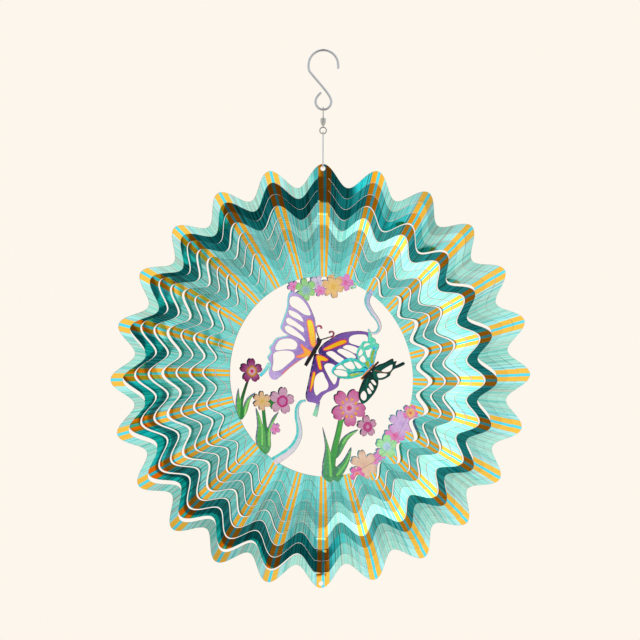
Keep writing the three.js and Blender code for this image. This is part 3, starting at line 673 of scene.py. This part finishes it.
LARGE_BUTTERFLY = dict(
    bounds=[
        band("body_black", [[-1.9, 27], [-3.5, 22.8], [-6.5, 18], [-9.8, 12.5], [-12.8, 7.5]], 4.2, 2.4),
        band("antenna", [[-2.3, 27], [-4.3, 31.8], [-4.6, 34.6], [-3.1, 35.9], [-1, 35.6], [-0.6, 34]],
             0.9, 1.5),
        band("antenna_right", [[-1, 26.2], [4.4, 27.9], [8.2, 29.3], [8.9, 31.4], [7, 32.3], [5.2, 31.4]],
             0.9, 1.5),
        area("wing_lilac", [-5.5, 16], [-4, 19], [-5, 27], [-5.5, 39.5], [-7.5, 45], [-12, 53],
          [-18, 58], [-24.5, 59.5], [-26.5, 56], [-27, 49], [-30, 40], [-32, 33.5], [-29.5, 30.5],
          [-24, 27.5], [-15, 20]),
        area("wing_lilac", [-5.5, 16.5], [-15, 22.5], [-24, 28.5], [-30.5, 27.5], [-35.5, 26],
          [-38, 22.5], [-40.5, 19.5], [-39.5, 16.5], [-42, 12.5], [-40, 8], [-41, 2.5], [-39.5, -2],
          [-36, -3.5], [-32, -1], [-24, 6], [-12, 14]),
        area("wing_purple", [-3, 18], [1, 23.6], [6, 27], [12.4, 30.8], [20, 32.8], [28, 33.6], [35, 33],
          [40, 30.5], [42, 27], [40, 24.5], [36, 22.6], [31.5, 20], [29, 16], [27, 12.8], [20, 11.8],
          [14.7, 8.6], [8, 10.8], [2.5, 12]),
        area("wing_plum", [-5.5, 16], [-7, 12], [-9.5, 1], [-11.5, -8], [-12.5, -13.5], [-11, -17.5],
          [-6.5, -18.5], [-3, -18.8], [0.5, -13.5], [4, -10.9], [9, -8.7], [12.5, -6], [13.4, -2],
          [14.6, 1.7], [13.6, 6], [15, 9.6], [10, 12.5], [3.5, 14]),
        band("tail_mint", [[-2.5, -17.5], [-4, -23], [-5.5, -28]], 2.2, 3.6),
        band("strand_cyan", [[-40.5, 8], [-44, 2.5], [-47.5, -1]], 2.6, 2.2),
    ],
    edges={"wing_lilac": "aqua_edge", "wing_purple": "navy_edge", "wing_plum": "navy_edge"},
    cells=[curve(points) for points in (
        [[-24.5, 55.5], [-19, 56], [-13, 51.5], [-9, 43.5], [-13.5, 43.5], [-19, 46.5], [-25, 50.5]],
        [[-26, 46], [-23, 46], [-16.5, 42.5], [-14.5, 38.5], [-19, 40], [-25, 43]],
        [[-28, 39.5], [-26, 41], [-20, 38], [-14, 33.5], [-14.5, 31], [-21, 34.5], [-27, 37]],
        [[-29, 34], [-26.5, 35.5], [-18.5, 31], [-14, 27], [-13, 24.5], [-18.5, 27], [-27.5, 31]],
        [[-33, 24.5], [-23.5, 26], [-19, 22.5], [-20.5, 19], [-27.5, 18.5], [-36, 18]],
        [[-37, 15.5], [-23, 17], [-21, 13.5], [-27, 7.5], [-32.5, 3.5], [-38, 3], [-37.5, 9]],
        [[20.9, 28.4], [23.3, 30.2], [29.5, 31.2], [34.5, 30.6], [35.5, 27.3], [31.8, 25.2],
          [29.5, 23], [25.6, 23.6], [20.9, 25.2]],
        [[15.9, 21.5], [19.8, 23.4], [28.3, 20.8], [26.6, 17.6], [20.2, 19.6]],
        [[11.6, 18.9], [14.3, 20.5], [25.6, 16.2], [26, 14.4], [20.2, 14], [16.3, 15.8]],
        [[3.1, 17], [7.4, 18.6], [12.4, 16], [17.4, 12.5], [13.2, 10.6], [7.8, 13.4]],
        [[1.6, 8.1], [4.7, 9.8], [10.1, 8.4], [11.4, 4.4], [11.6, -1.3], [9.5, -5], [7.4, -2.9],
          [4.3, 1.9]],
        [[-5.4, -0.7], [-3.1, 2.2], [0.4, 3.4], [2.7, -0.6], [5, -5.1], [4.3, -8.2], [-0.8, -10.7],
          [-4.3, -13.3], [-6.2, -9.2]])],
    paints=[
        area(*core) for core in (
            ("core_yellow", [-12, 40], [-9.5, 40], [-7.5, 35], [-6.5, 22], [-8.5, 22], [-11, 31.5]),
            ("core_yellow", [-17, 22.5], [-15, 21], [-9, 17], [-13.5, 14.5], [-20.5, 14], [-14.5, 17]),
            ("core_yellow", [-18, 11], [-16.5, 10.5], [-23, 5.5], [-30.5, 0.5], [-31, 1], [-24, 7]),
            ("core_gold", [0.2, 19.9], [6, 23.3], [14.5, 27], [17.4, 27.1], [17.8, 25.9], [10.6, 22.7],
              [3, 19.9]),
            ("core_gold", [-4.8, 15.1], [-1.8, 15.4], [3.6, 12.8], [1.3, 12], [-2, 12], [-1.2, 6.1],
              [-2.6, 5.9], [-4.4, 11.2]),
            ("core_gold", [-7.2, 3.7], [-6.4, 3.4], [-7.3, -3], [-9, -8], [-9.8, -9.9], [-9.3, -4.5]))
    ],
)
LARGE_BUTTERFLY["paints"] += [(grown(outline, CORE_LINE), "core_line", None)
                              for outline, _, _ in LARGE_BUTTERFLY["paints"]]
LARGE_BUTTERFLY["paints"].append(
    area("wing_tail", [-40.5, 4], [-36, 2.5], [-31.5, 1.5], [-31, -1], [-36, -4.5], [-42, -3]))
LARGE_BUTTERFLY["paints"].insert(0, area(
    "body_black", [-1.2, 26.4], [-1.9, 21.8], [-4.6, 16.8], [-8.3, 11.6], [-12, 7], [-13.4, 7.9],
    [-11.3, 13.4], [-8.4, 19.2], [-5.1, 23.8], [-2.7, 27.4]))

SMALL_BUTTERFLY = dict(
    bounds=[
        band("body_black", [[30.4, -0.2], [35.7, 4.8], [40.3, 9.3], [43.8, 12.6]], 2, 1.4),
        area("wing_teal", [36, 5.2], [33.3, 3.3], [27.9, 1.2], [21.7, -0.4], [14.7, -0.4], [10, 1.5],
          [7.2, 4.2], [9, 7.6], [12.4, 10], [16.5, 12.6], [21.7, 14.4], [27.9, 13.6], [31.5, 11.4],
          [35, 9]),
        area("wing_mint", [38, 7], [32.6, 9.6], [29, 12.4], [26.8, 16.3], [27.2, 20], [29.5, 23.5],
          [32.2, 26.6], [34.9, 26.4], [35.7, 28.4], [36, 33], [38, 32.7], [38.4, 29.9], [41.1, 28.3],
          [41.9, 25.8], [44, 24.8], [43.8, 22.1], [42.6, 19.9], [41.5, 15.6], [40.3, 11.4]),
        area("wing_green", [38.5, 6], [43.4, 10.3], [48, 12], [55, 15.3], [55.6, 13.4], [57.8, 13.7],
          [57, 10.8], [60, 12], [63.2, 13.3], [64.2, 11.9], [58.9, 9], [55.8, 7.8], [53.5, 5.4],
          [52.7, 3.3], [49.6, 1.2], [46.5, 0], [42.6, 0], [39.5, 1.8]),
        area("wing_bottle", [37, 5.2], [32.2, -0.3], [30.2, -4.6], [28.7, -8.9], [29, -13.8],
          [31.4, -17.4], [34.1, -16.6], [38, -12.9], [41.2, -9], [43.5, -4], [43.6, -0.2], [41.5, 3]),
    ],
    edges={"wing_teal": "vein_cyan", "wing_mint": "wing_teal", "wing_green": "night_edge",
           "wing_bottle": "night_edge"},
    cells=[curve(points) for points in (
        [[9, 4.3], [11.6, 5.5], [18.6, 4.4], [19.8, 1.8], [14.5, 1.1], [10.5, 2.2]],
        [[10.6, 6.4], [12.6, 8.3], [15.1, 9], [17.4, 7], [19.4, 5.5], [15.5, 6]],
        [[16.5, 9.6], [19.8, 11.2], [22.9, 11.7], [25.5, 7.4], [23.3, 6.4], [19.8, 6.9]],
        [[24.6, 12], [27.9, 11.3], [31, 8.4], [28.3, 7], [26.4, 8.6]],
        [[28.1, 16], [28.5, 19], [30.2, 20.9], [31.6, 18.4], [29.5, 16.1]],
        [[28.9, 13.2], [29.4, 14.8], [31.8, 16.5], [33.3, 14.6], [33.7, 12], [31, 11.8]],
        [[33.4, 19.9], [36, 20.7], [38.4, 21.9], [37.6, 18.6], [36, 14.9], [34.9, 15.7], [33.9, 18]],
        [[32, 22.3], [32.8, 24.5], [34.9, 25.2], [37.4, 24.8], [34.9, 23.6]],
        [[46.1, 6.2], [48.4, 8], [51.2, 9.6], [54.6, 11], [54, 7.7], [52.3, 6.2], [48.8, 5.6]],
        [[42.8, 4], [46.5, 4.6], [50.6, 4.2], [48.8, 2.4], [43.8, 1.4]],
        [[30.2, -11], [32.6, -8.4], [34.7, -10.7], [34.5, -13.8], [32.6, -15.2], [30.4, -13.7]],
        [[35, -6.8], [36, -6.2], [38.7, -9.4], [36.6, -10.4]],
        [[36.2, -4.3], [37.3, -2.6], [40.2, -6.5], [39.3, -7.8]],
        [[37.9, -0.9], [39.7, -0.3], [42.2, -3.3], [41.2, -4.1]])],
    paints=[
        band("body_black", [[30.4, 0.7], [35, 5.1], [39.6, 9.5], [42.8, 12.7]], 1.5, 1.1),
        band("body_orange", [[29.4, 0.1], [34.4, 5.7], [39, 10.4], [42.2, 13.5]], 2.2, 1.2),
        area("lime", [20.3, 3.1], [26.1, 4.5], [31.6, 5.1], [25.4, 2.7], [21.5, 1.8]),
        band("night_edge", [[20.5, 3.8], [26, 5.3], [32, 5.6]], 0.4, 0.5),
        area("lime", [33.4, 9.9], [32.6, 11.7], [33.6, 13.5], [35.3, 12.9], [36, 9.7], [35, 8.5]),
        area("lime", [37, 11.9], [36.6, 15.7], [38.6, 21.1], [40, 21.9], [39, 16.3], [38.6, 11.7]),
        band("vein_cyan", [[36.6, 8.1], [37.6, 12.5], [38.9, 17.5], [40, 23.5]], 3.4, 2),
        band("vein_cyan", [[35.4, 8.9], [34, 11.1], [32.8, 13.1]], 3.4, 2),
        band("vein_cyan", [[34.6, 6.7], [28, 4.9], [20.6, 3.1]], 3, 2.6),
        band("night_edge", [[31.2, 9.1], [33, 8.5], [35, 7.1]], 0.5, 0.8),
        band("body_orange", [[40, 6.9], [46, 5.9], [51.6, 5.7]], 0.5, 0.4),
        band("wing_green", [[34.4, -6.5], [33.6, -2.5], [34.6, 1]], 1.6, 1.2),
    ],
)

TOP_GARLAND = dict(
    bounds=[
        flower("petal_pink", -2.5, 61, 4.5, 5), flower("petal_peach", 7.5, 64.5, 9, 6, 15),
        flower("petal_leaf", -13.5, 61.5, 8.5, 6, 10), flower("petal_pearl", -4.5, 66.5, 6, 5, 30),
        flower("petal_pink", -23, 63.5, 4.5, 5, 20), flower("petal_pink", 17, 67.5, 6.5, 5, 40),
        flower("petal_mint", 23.5, 65.5, 3, 5),
    ],
    edges={}, ground="slate_edge", cells=[], paints=[],
)

RIGHT_GARLAND = dict(
    bounds=[
        flower("petal_mint", 50, -46, 8.5, 5, 54), flower("petal_candy", 27, -67, 6, 5, 30),
        flower("petal_sunrise", 68, -21.5, 6, 5, 25), flower("petal_lilac", 61, -29.5, 9.5, 6, 5),
        flower("petal_pink", 56, -38, 8, 6, 20), flower("petal_shell", 32.5, -60, 10.5, 6, 12),
        flower("petal_pink", 45, -52, 4.5, 5, 10), flower("petal_pink", 40.5, -56.5, 4.5, 5),
    ],
    edges={}, ground="slate_edge", cells=[], paints=[],
)

TOP_LINE = [[37.5, 63], [34.5, 54.5], [38, 47.5], [43, 41.5], [44.5, 36.5], [42, 33], [38, 32.4], [35.5, 35]]
TOP_SWIRL = dict(
    bounds=[band("swirl_edge", TOP_LINE, 4.6, 1.2)],
    edges={}, cells=[], paints=[band("swirl_lilac", TOP_LINE, 3.0, 0.7)],
)

BOTTOM_LINE = [[-12.5, -17.2], [-16.5, -18.5], [-19, -23], [-19, -29], [-17.5, -35.5], [-17.5, -42.5],
               [-22, -51], [-30, -57.5], [-37, -62]]
BOTTOM_SWIRL = dict(
    bounds=[band("swirl_edge", BOTTOM_LINE, 1.6, 6.5)],
    edges={}, cells=[], paints=[band("swirl_heart", BOTTOM_LINE, 0.6, 4.2)],
)


def leaf(*points):
    return area("leaf", *points)


MAGENTA_FLOWER = dict(
    bounds=[
        flower("petal_magenta", -54.5, 2.5, 9, 5, 54),
        band("stem_dark", [[-56.5, -4], [-59, -11], [-61.5, -20], [-62, -32]], 1.6, 3),
        leaf([-64, -10.5], [-66, -19], [-65.5, -27.5], [-61.5, -33], [-61, -23], [-63, -17]),
        leaf([-51, -13], [-57.5, -17.5], [-61, -26.5], [-61.5, -33], [-57.5, -27.5], [-54.5, -18]),
    ],
    edges={"petal_magenta": "ink", "leaf": "leaf_edge", "stem_dark": "stem_dark"}, cells=[],
    paints=[band("leaf_light", [[-53, -14.6], [-57.6, -20], [-60, -29]], 0.5, 1.3)],
)

LEFT_CLUSTER = dict(
    bounds=[
        flower("petal_cream", -46.5, -18.5, 7, 6), flower("petal_mauve", -31, -18, 10, 5, 46),
        flower("petal_pink", -36, -38, 4.6, 5, 10),
        area("stem_dark", [-43, -18.5], [-38, -17.5], [-35, -20.5], [-38.5, -23.5]),
        band("stem_dark", [[-45, -22], [-44, -31.5], [-43, -40]], 2.4, 3),
        leaf([-50.5, -24], [-49.5, -35.5], [-50.5, -47.5], [-47.5, -54], [-42, -56.5], [-39, -52],
             [-39, -43.5], [-37.5, -35.5], [-33, -26], [-37.5, -30], [-42, -38], [-45, -36], [-47.5, -29.5]),
    ],
    edges={"petal_cream": "ink", "petal_mauve": "ink", "leaf": "leaf_edge", "petal_pink": "leaf_edge"},
    cells=[],
    paints=[
        band("leaf_shade", [[-43.4, -33], [-43.2, -42], [-42.6, -52]], 2.2, 0.6),
        band("leaf_light", [[-35.5, -29.5], [-40.5, -38], [-41, -50]], 0.6, 1.5),
        band("leaf_light", [[-48.6, -30], [-46.6, -38], [-46.4, -50]], 0.5, 1.4),
    ],
)

ROSE_FLOWER = dict(
    bounds=[
        flower("petal_rose", 20.5, -20.5, 14, 5, 27), flower("petal_dusk", 35, -33, 8, 5, 61),
        band("stem", [[15, -29], [13, -38.5], [9.5, -52.5], [8, -63.5]], 4, 5),
        leaf([0.5, -35.5], [3.5, -43.5], [7.5, -55.5], [9, -65.5], [4.5, -71], [0.5, -65.5], [2.5, -49.5]),
        leaf([28.5, -35.8], [21, -38.5], [14.5, -44.5], [11.5, -57], [14.5, -54], [21, -43]),
        leaf([23, -48.5], [17, -57.5], [9, -66.5], [8, -73], [13.5, -71.5], [19.5, -63.5], [22.5, -55.5]),
        leaf([0.5, -65.5], [1, -71.5], [8, -74], [14, -71.5], [11, -62.5], [5.5, -61.5]),
    ],
    edges={"petal_rose": "ink", "petal_dusk": "ink", "leaf": "leaf_edge", "stem": "leaf_shade"}, cells=[],
    paints=[
        band("leaf_light", [[1.6, -38.5], [4.6, -49], [5.8, -62], [6.5, -70]], 0.5, 2.2),
        band("leaf_light", [[22.4, -50.5], [18, -60], [11, -69]], 0.6, 2.0),
        band("leaf_shade", [[15.4, -42], [12.6, -50], [10.8, -62], [8.6, -69]], 1.2, 3.4),
        band("leaf_light", [[26.5, -36.6], [19.5, -40.6], [15.4, -46]], 0.5, 1.2),
    ],
)

MOTIFS = [
    ("butterfly_small", SMALL_BUTTERFLY, "teal_print"),
    ("flower_rose", ROSE_FLOWER, "rose_print"),
    ("flower_magenta", MAGENTA_FLOWER, "magenta_print"),
    ("butterfly_large", LARGE_BUTTERFLY, "purple_print"),
    ("flower_cluster_left", LEFT_CLUSTER, "mauve_print"),
    ("garland_top", TOP_GARLAND, "pastel_print"),
    ("garland_right", RIGHT_GARLAND, "lilac_print"),
    ("swirl_top", TOP_SWIRL, "pale_blue_print"),
    ("swirl_bottom", BOTTOM_SWIRL, "pale_blue_print"),
]


def motif_layers(motif):
    """A motif's print, shifted off its cut outline, and the ground that shows where it misses."""
    printed = [moved(shape, SCENE_SHIFT) for shape in [*motif["paints"], *motif["bounds"]]]
    ground = motif.get("ground")
    grounds = [(outline, motif["edges"].get(paint, ground or paint), drawing)
               for outline, paint, drawing in motif["bounds"]]
    return printed, grounds


def build_motifs():
    above = []
    rim = circle(WINDOW, LOBES * STATIONS)
    for name, motif, slot in MOTIFS:
        printed, grounds = motif_layers(motif)
        cells = motif["cells"] + above
        made = sheet_object(name + "_print", RINGS, grounds, printed, cells, rim)
        keep_largest(made)
        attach(made, "ring_9")
        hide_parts(name)
        above = above + [outline for outline, _, _ in motif["bounds"]]


def keep_largest(piece):
    """Only the biggest connected part of a cut-out stays: the scraps that nothing holds fall away."""
    work = bmesh.new()
    work.from_mesh(piece.data)
    work.verts.ensure_lookup_table()
    group = [-1] * len(work.verts)
    sizes = []
    for seed in work.verts:
        if group[seed.index] >= 0:
            continue
        group[seed.index] = len(sizes)
        front, size = [seed], 0
        while front:
            vert = front.pop()
            size += 1
            for edge in vert.link_edges:
                other = edge.other_vert(vert)
                if group[other.index] < 0:
                    group[other.index] = len(sizes)
                    front.append(other)
        sizes.append(size)
    best = sizes.index(max(sizes))
    bmesh.ops.delete(work, geom=[v for v in work.verts if group[v.index] != best], context="VERTS")
    work.to_mesh(piece.data)
    work.free()


def build_rings():
    for number in range(1, RINGS + 1):
        outer, cells = ring_shape(number)
        paints = []
        if number == RINGS:
            for _, motif, _ in MOTIFS:
                paints += motif_layers(motif)[0]
        bounds = [(outer, "ring_print", None)]
        made = sheet_object(f"ring_{number}_print", number, bounds, paints, cells, seam=on_bridge)
        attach(made, f"ring_{number}")
        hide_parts(f"wave_ring_{number}")
        if number < RINGS:
            bridge_object(number, 1)
            bridge_object(number, -1)


# ---- wire hardware ----------------------------------------------------------------------------------
def arc(centre, radius, start, end, steps):
    angle = np.radians(np.linspace(start, end, steps + 1))
    return [[centre[0] + radius * math.cos(a), centre[1] + radius * math.sin(a)] for a in angle]


def stations(line, radius, spacing):
    """Points along a line, evenly spaced between two rounded ends, and the wire's radius at each."""
    steps = np.linalg.norm(np.diff(line, axis=0), axis=1)
    run = np.concatenate([[0], np.cumsum(steps)])
    total = run[-1]
    caps = np.radians([0.5, 20, 40, 60, 80])
    depth, width = radius * (1 - np.cos(caps)), radius * np.sin(caps)
    inner = np.linspace(radius, total - radius, max(int(total / spacing), 2))
    at = np.concatenate([depth, inner, total - depth[::-1]])
    radii = np.concatenate([width, np.full(len(inner), radius), width[::-1]])
    return np.stack([np.interp(at, run, line[:, k]) for k in range(3)], 1), radii


def wire(name, line, diameter, across, material, closed=False, sides=20, spacing=0.35):
    """Round wire along a line in one plane. across is the plane's normal."""
    if closed:
        points, radii = line, np.full(len(line), diameter / 2)
        along = np.roll(points, -1, 0) - np.roll(points, 1, 0)
    else:
        points, radii = stations(line, diameter / 2, spacing)
        along = np.gradient(points, axis=0)
    along /= np.linalg.norm(along, axis=1)[:, None]
    across = np.array(across, float)
    beside = np.cross(along, across)
    turn = np.arange(sides) / sides * math.tau
    corners = np.concatenate([p + r * (np.outer(np.cos(turn), across) + np.outer(np.sin(turn), b))
                              for p, r, b in zip(points, radii, beside)])
    count = len(points)
    faces = []
    for j in range(count if closed else count - 1):
        for i in range(sides):
            a, b = j * sides + i, j * sides + (i + 1) % sides
            c, d = (b + sides) % (count * sides), (a + sides) % (count * sides)
            faces.append((d, c, b, a))
    if not closed:
        faces += [tuple(range(sides)), tuple(reversed(range((count - 1) * sides, count * sides)))]
    return mesh_object(name, corners * MM, faces, [material], [0] * len(faces), [True] * len(faces), [])


def lathe(name, profile, material, sides=48):
    """A closed turned solid about the hanging line."""
    profile = np.array(profile, float)
    turn = np.arange(sides) / sides * math.tau
    corners = np.concatenate([np.stack([r * np.cos(turn), r * np.sin(turn), np.full(sides, z)], 1)
                              for r, z in profile]) * MM
    count = len(profile)
    faces = []
    for j in range(count):
        for i in range(sides):
            a, b = j * sides + i, j * sides + (i + 1) % sides
            c, d = (b + sides) % (count * sides), (a + sides) % (count * sides)
            faces.append((a, b, c, d))
    return mesh_object(name, corners, faces, [material], [0] * len(faces), [True] * len(faces), [])


def join(first, *others):
    for other in others:
        for material in other.data.materials:
            if material.name not in first.data.materials:
                first.data.materials.append(material)
    with bpy.context.temp_override(active_object=first, selected_editable_objects=[first, *others]):
        bpy.ops.object.join()
    return first


def in_xz(points):
    return np.array([(x, 0, z) for x, z in points], float)


def in_yz(points):
    return np.array([(0, y, z) for y, z in points], float)


def hook():
    crown = (0, HOOK_WIRE / 2 - CROWN_RADIUS)
    points = [[10.3, -12.3], *arc(crown, CROWN_RADIUS, 0, 180, 9), [-10.3, -11.8], [-9.6, -14], [-8, -16],
              [3, -29.1], *arc(EYE_LOOP[:2], EYE_LOOP[2], 25, -200, 11), [-4.2, -31.5], [-1.4, -28.4]]
    line = curve(in_xz(points), False, 12)
    return wire("hook_wire", line, HOOK_WIRE, (0, 1, 0), CHROME, sides=28)


def upper_eye():
    z, half_height, half_width = UPPER_EYE
    oval = [[half_width * math.cos(a), z + half_height * math.sin(a)] for a in np.arange(12) / 12 * math.tau]
    loop = wire("upper_eye_loop", curve(in_yz(oval), True, 8), SWIVEL_WIRE, (1, 0, 0), NICKEL, closed=True)
    stem = wire("upper_eye_stem", in_yz([[0, z - half_height], [0, -47.9]]), 1.0, (1, 0, 0), NICKEL)
    head = lathe("upper_eye_head", [(0.02, -47.65), (0.9, -47.65), (1.0, -47.75), (1.0, -48.4),
                                    (0.9, -48.5), (0.02, -48.5)], NICKEL)
    return join(loop, stem, head)


def barrel():
    outer = curve([[1.1, -46.5], [1.45, -46.55], [1.78, -46.8], [1.93, -47.3], [1.95, -47.9], [1.95, -48.5],
                   [1.86, -49.2], [1.72, -49.9], [1.5, -50.5], [1.3, -51], [1.2, -51.5]], False, 5)
    inner = [(1.1, -51.68), (0.7, -51.7), (0.7, -50.4), (0.02, -50.4), (0.02, -49.7), (1.3, -49.7),
             (1.3, -47.3), (0.8, -47.3), (0.8, -46.55), (0.86, -46.5)]
    grooves = [(r - 0.07 if -47.72 < z < -47.5 or -48.6 < z < -48.35 else r, z) for r, z in outer]
    return lathe("barrel_body", grooves + inner, NICKEL)


def lower_eye():
    z, radius = LOWER_EYE
    ring = [[radius * math.cos(a), z + radius * math.sin(a)] for a in np.arange(16) / 16 * math.tau]
    loop = wire("lower_eye_loop", curve(in_xz(ring), True, 6), LINK_WIRE, (0, 1, 0), NICKEL, closed=True)
    stem = wire("lower_eye_stem", in_yz([[0, -50.7], [0, z + radius]]), 0.8, (1, 0, 0), NICKEL)
    return join(loop, stem)


def link():
    top, bottom = LINK_TOP - LINK_HALF_WIDTH, LINK_BOTTOM + LINK_HALF_WIDTH
    points = [[LINK_HALF_WIDTH, -62.2], [LINK_HALF_WIDTH, -70],
              *arc((0, bottom), LINK_HALF_WIDTH, 0, -180, 6), [-LINK_HALF_WIDTH, -70],
              [-LINK_HALF_WIDTH, -62], *arc((0, top), LINK_HALF_WIDTH, 180, 0, 6), [LINK_HALF_WIDTH, -61.6]]
    return wire("link_wire_loop", curve(in_yz(points), False, 10), LINK_WIRE, (1, 0, 0), CHROME)


def build_hardware():
    for piece, body, node, slot in (
            (hook(), "s_hook", "s_hook", "hook_wire"),
            (upper_eye(), "upper_eye", "swivel_upper_eye", "swivel_metal"),
            (barrel(), "barrel", "swivel_barrel", "swivel_metal"),
            (lower_eye(), "barrel", "swivel_lower_eye", "swivel_metal"),
            (link(), "link", "wire_link", "link_wire")):
        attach(piece, body)
        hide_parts(node)


# ---- studio -----------------------------------------------------------------------------------------
CREAM = "FDF6EC"
STUDIO = [  # light by direction: degrees left of the camera, brightness
    (-180, 1.05), (-165, 0.5), (-150, 1.05), (-120, 0.95), (-60, 1.0), (-20, 1.2), (-16, 1.02),
    (-14, 0.75), (-12, 0.5), (-10, 0.32), (-7, 0.16), (-4, 0.12), (9, 0.11), (13, 0.24), (17, 0.17),
    (18.2, 0.2), (20, 0.95), (22, 0.72), (23, 0.85), (24, 2.2), (25.4, 2.6), (26.6, 1.1), (28, 0.62),
    (31, 0.66), (35, 0.82), (40, 1.0), (46, 1.15), (55, 1.1), (120, 0.95), (150, 1.05), (165, 0.5),
    (180, 1.05)]
STUDIO_PEAK = 2.6
FLOOR_HALF, FLOOR_LEVEL = 6, -2.7          # metres
CAMERA_DISTANCE, CAMERA_RISE, CAMERA_ROLL = 2.505, 5.3, 0.25   # metres from the disc's centre, degrees
LENS, SENSOR = 200, 36
AIM_ABOVE, AIM_LEFT = 0.0401, 0.0016       # how far off the disc's centre the camera points, metres


def build_studio():
    world = bpy.data.worlds.new("studio")
    bpy.context.scene.world = world
    world.use_nodes = True
    graph = Wiring(world.node_tree)
    place = graph.node("ShaderNodeTexCoord").outputs["Generated"]
    x, y, _ = graph.node("ShaderNodeSeparateXYZ", {0: place}).outputs
    left = graph.math("ARCTAN2", graph.math("MULTIPLY", x, -1.0), graph.math("MULTIPLY", y, -1.0))
    along = graph.between(left, -math.pi, math.pi)
    light = graph.ramp(along, [((a + 180) / 360, b / STUDIO_PEAK) for a, b in STUDIO])
    background = world.node_tree.nodes["Background"]
    cream = graph.node("ShaderNodeBackground", {0: srgb(CREAM), 1: 1.0})
    graph.feed(background.inputs[0], light)
    background.inputs[1].default_value = STUDIO_PEAK
    seen = graph.node("ShaderNodeLightPath").outputs["Is Camera Ray"]
    both = graph.node("ShaderNodeMixShader", {0: seen, 1: background.outputs[0], 2: cream.outputs[0]})
    graph.feed(world.node_tree.nodes["World Output"].inputs[0], both.outputs[0])


def build_floor():
    corners = [(x * FLOOR_HALF, y * FLOOR_HALF, FLOOR_LEVEL) for x, y in ((-1, -1), (1, -1), (1, 1), (-1, 1))]
    floor = mesh_object("studio_floor", corners, [(0, 1, 2, 3)], [], [0], [False], [])
    graph = Graph("floor_cream")
    glow = graph.node("ShaderNodeEmission", {0: srgb(CREAM), 1: 1.0})
    graph.feed(graph.tree.nodes["Material Output"].inputs[0], glow.outputs[0])
    floor.data.materials.append(graph.material)


def build_camera():
    rise, roll = math.radians(CAMERA_RISE), math.radians(CAMERA_ROLL)
    data = bpy.data.cameras.new("camera")
    data.lens, data.sensor_width = LENS, SENSOR
    data.clip_end = 100
    camera = bpy.data.objects.new("camera", data)
    bpy.context.scene.collection.objects.link(camera)
    centre = Vector((0, 0, DISC_CENTRE * MM))
    camera.location = centre + CAMERA_DISTANCE * Vector((0, -math.cos(rise), math.sin(rise)))
    target = centre + AIM_ABOVE * Vector((0, math.sin(rise), math.cos(rise))) - Vector((AIM_LEFT, 0, 0))
    aim = (target - camera.location).to_track_quat("-Z", "Y") @ Quaternion((0, 0, 1), roll)
    camera.rotation_euler = aim.to_euler()
    bpy.context.scene.camera = camera


bpy.context.scene.view_settings.view_transform = "Standard"
build_hardware()
build_rings()
build_motifs()
build_studio()
build_floor()
build_camera()
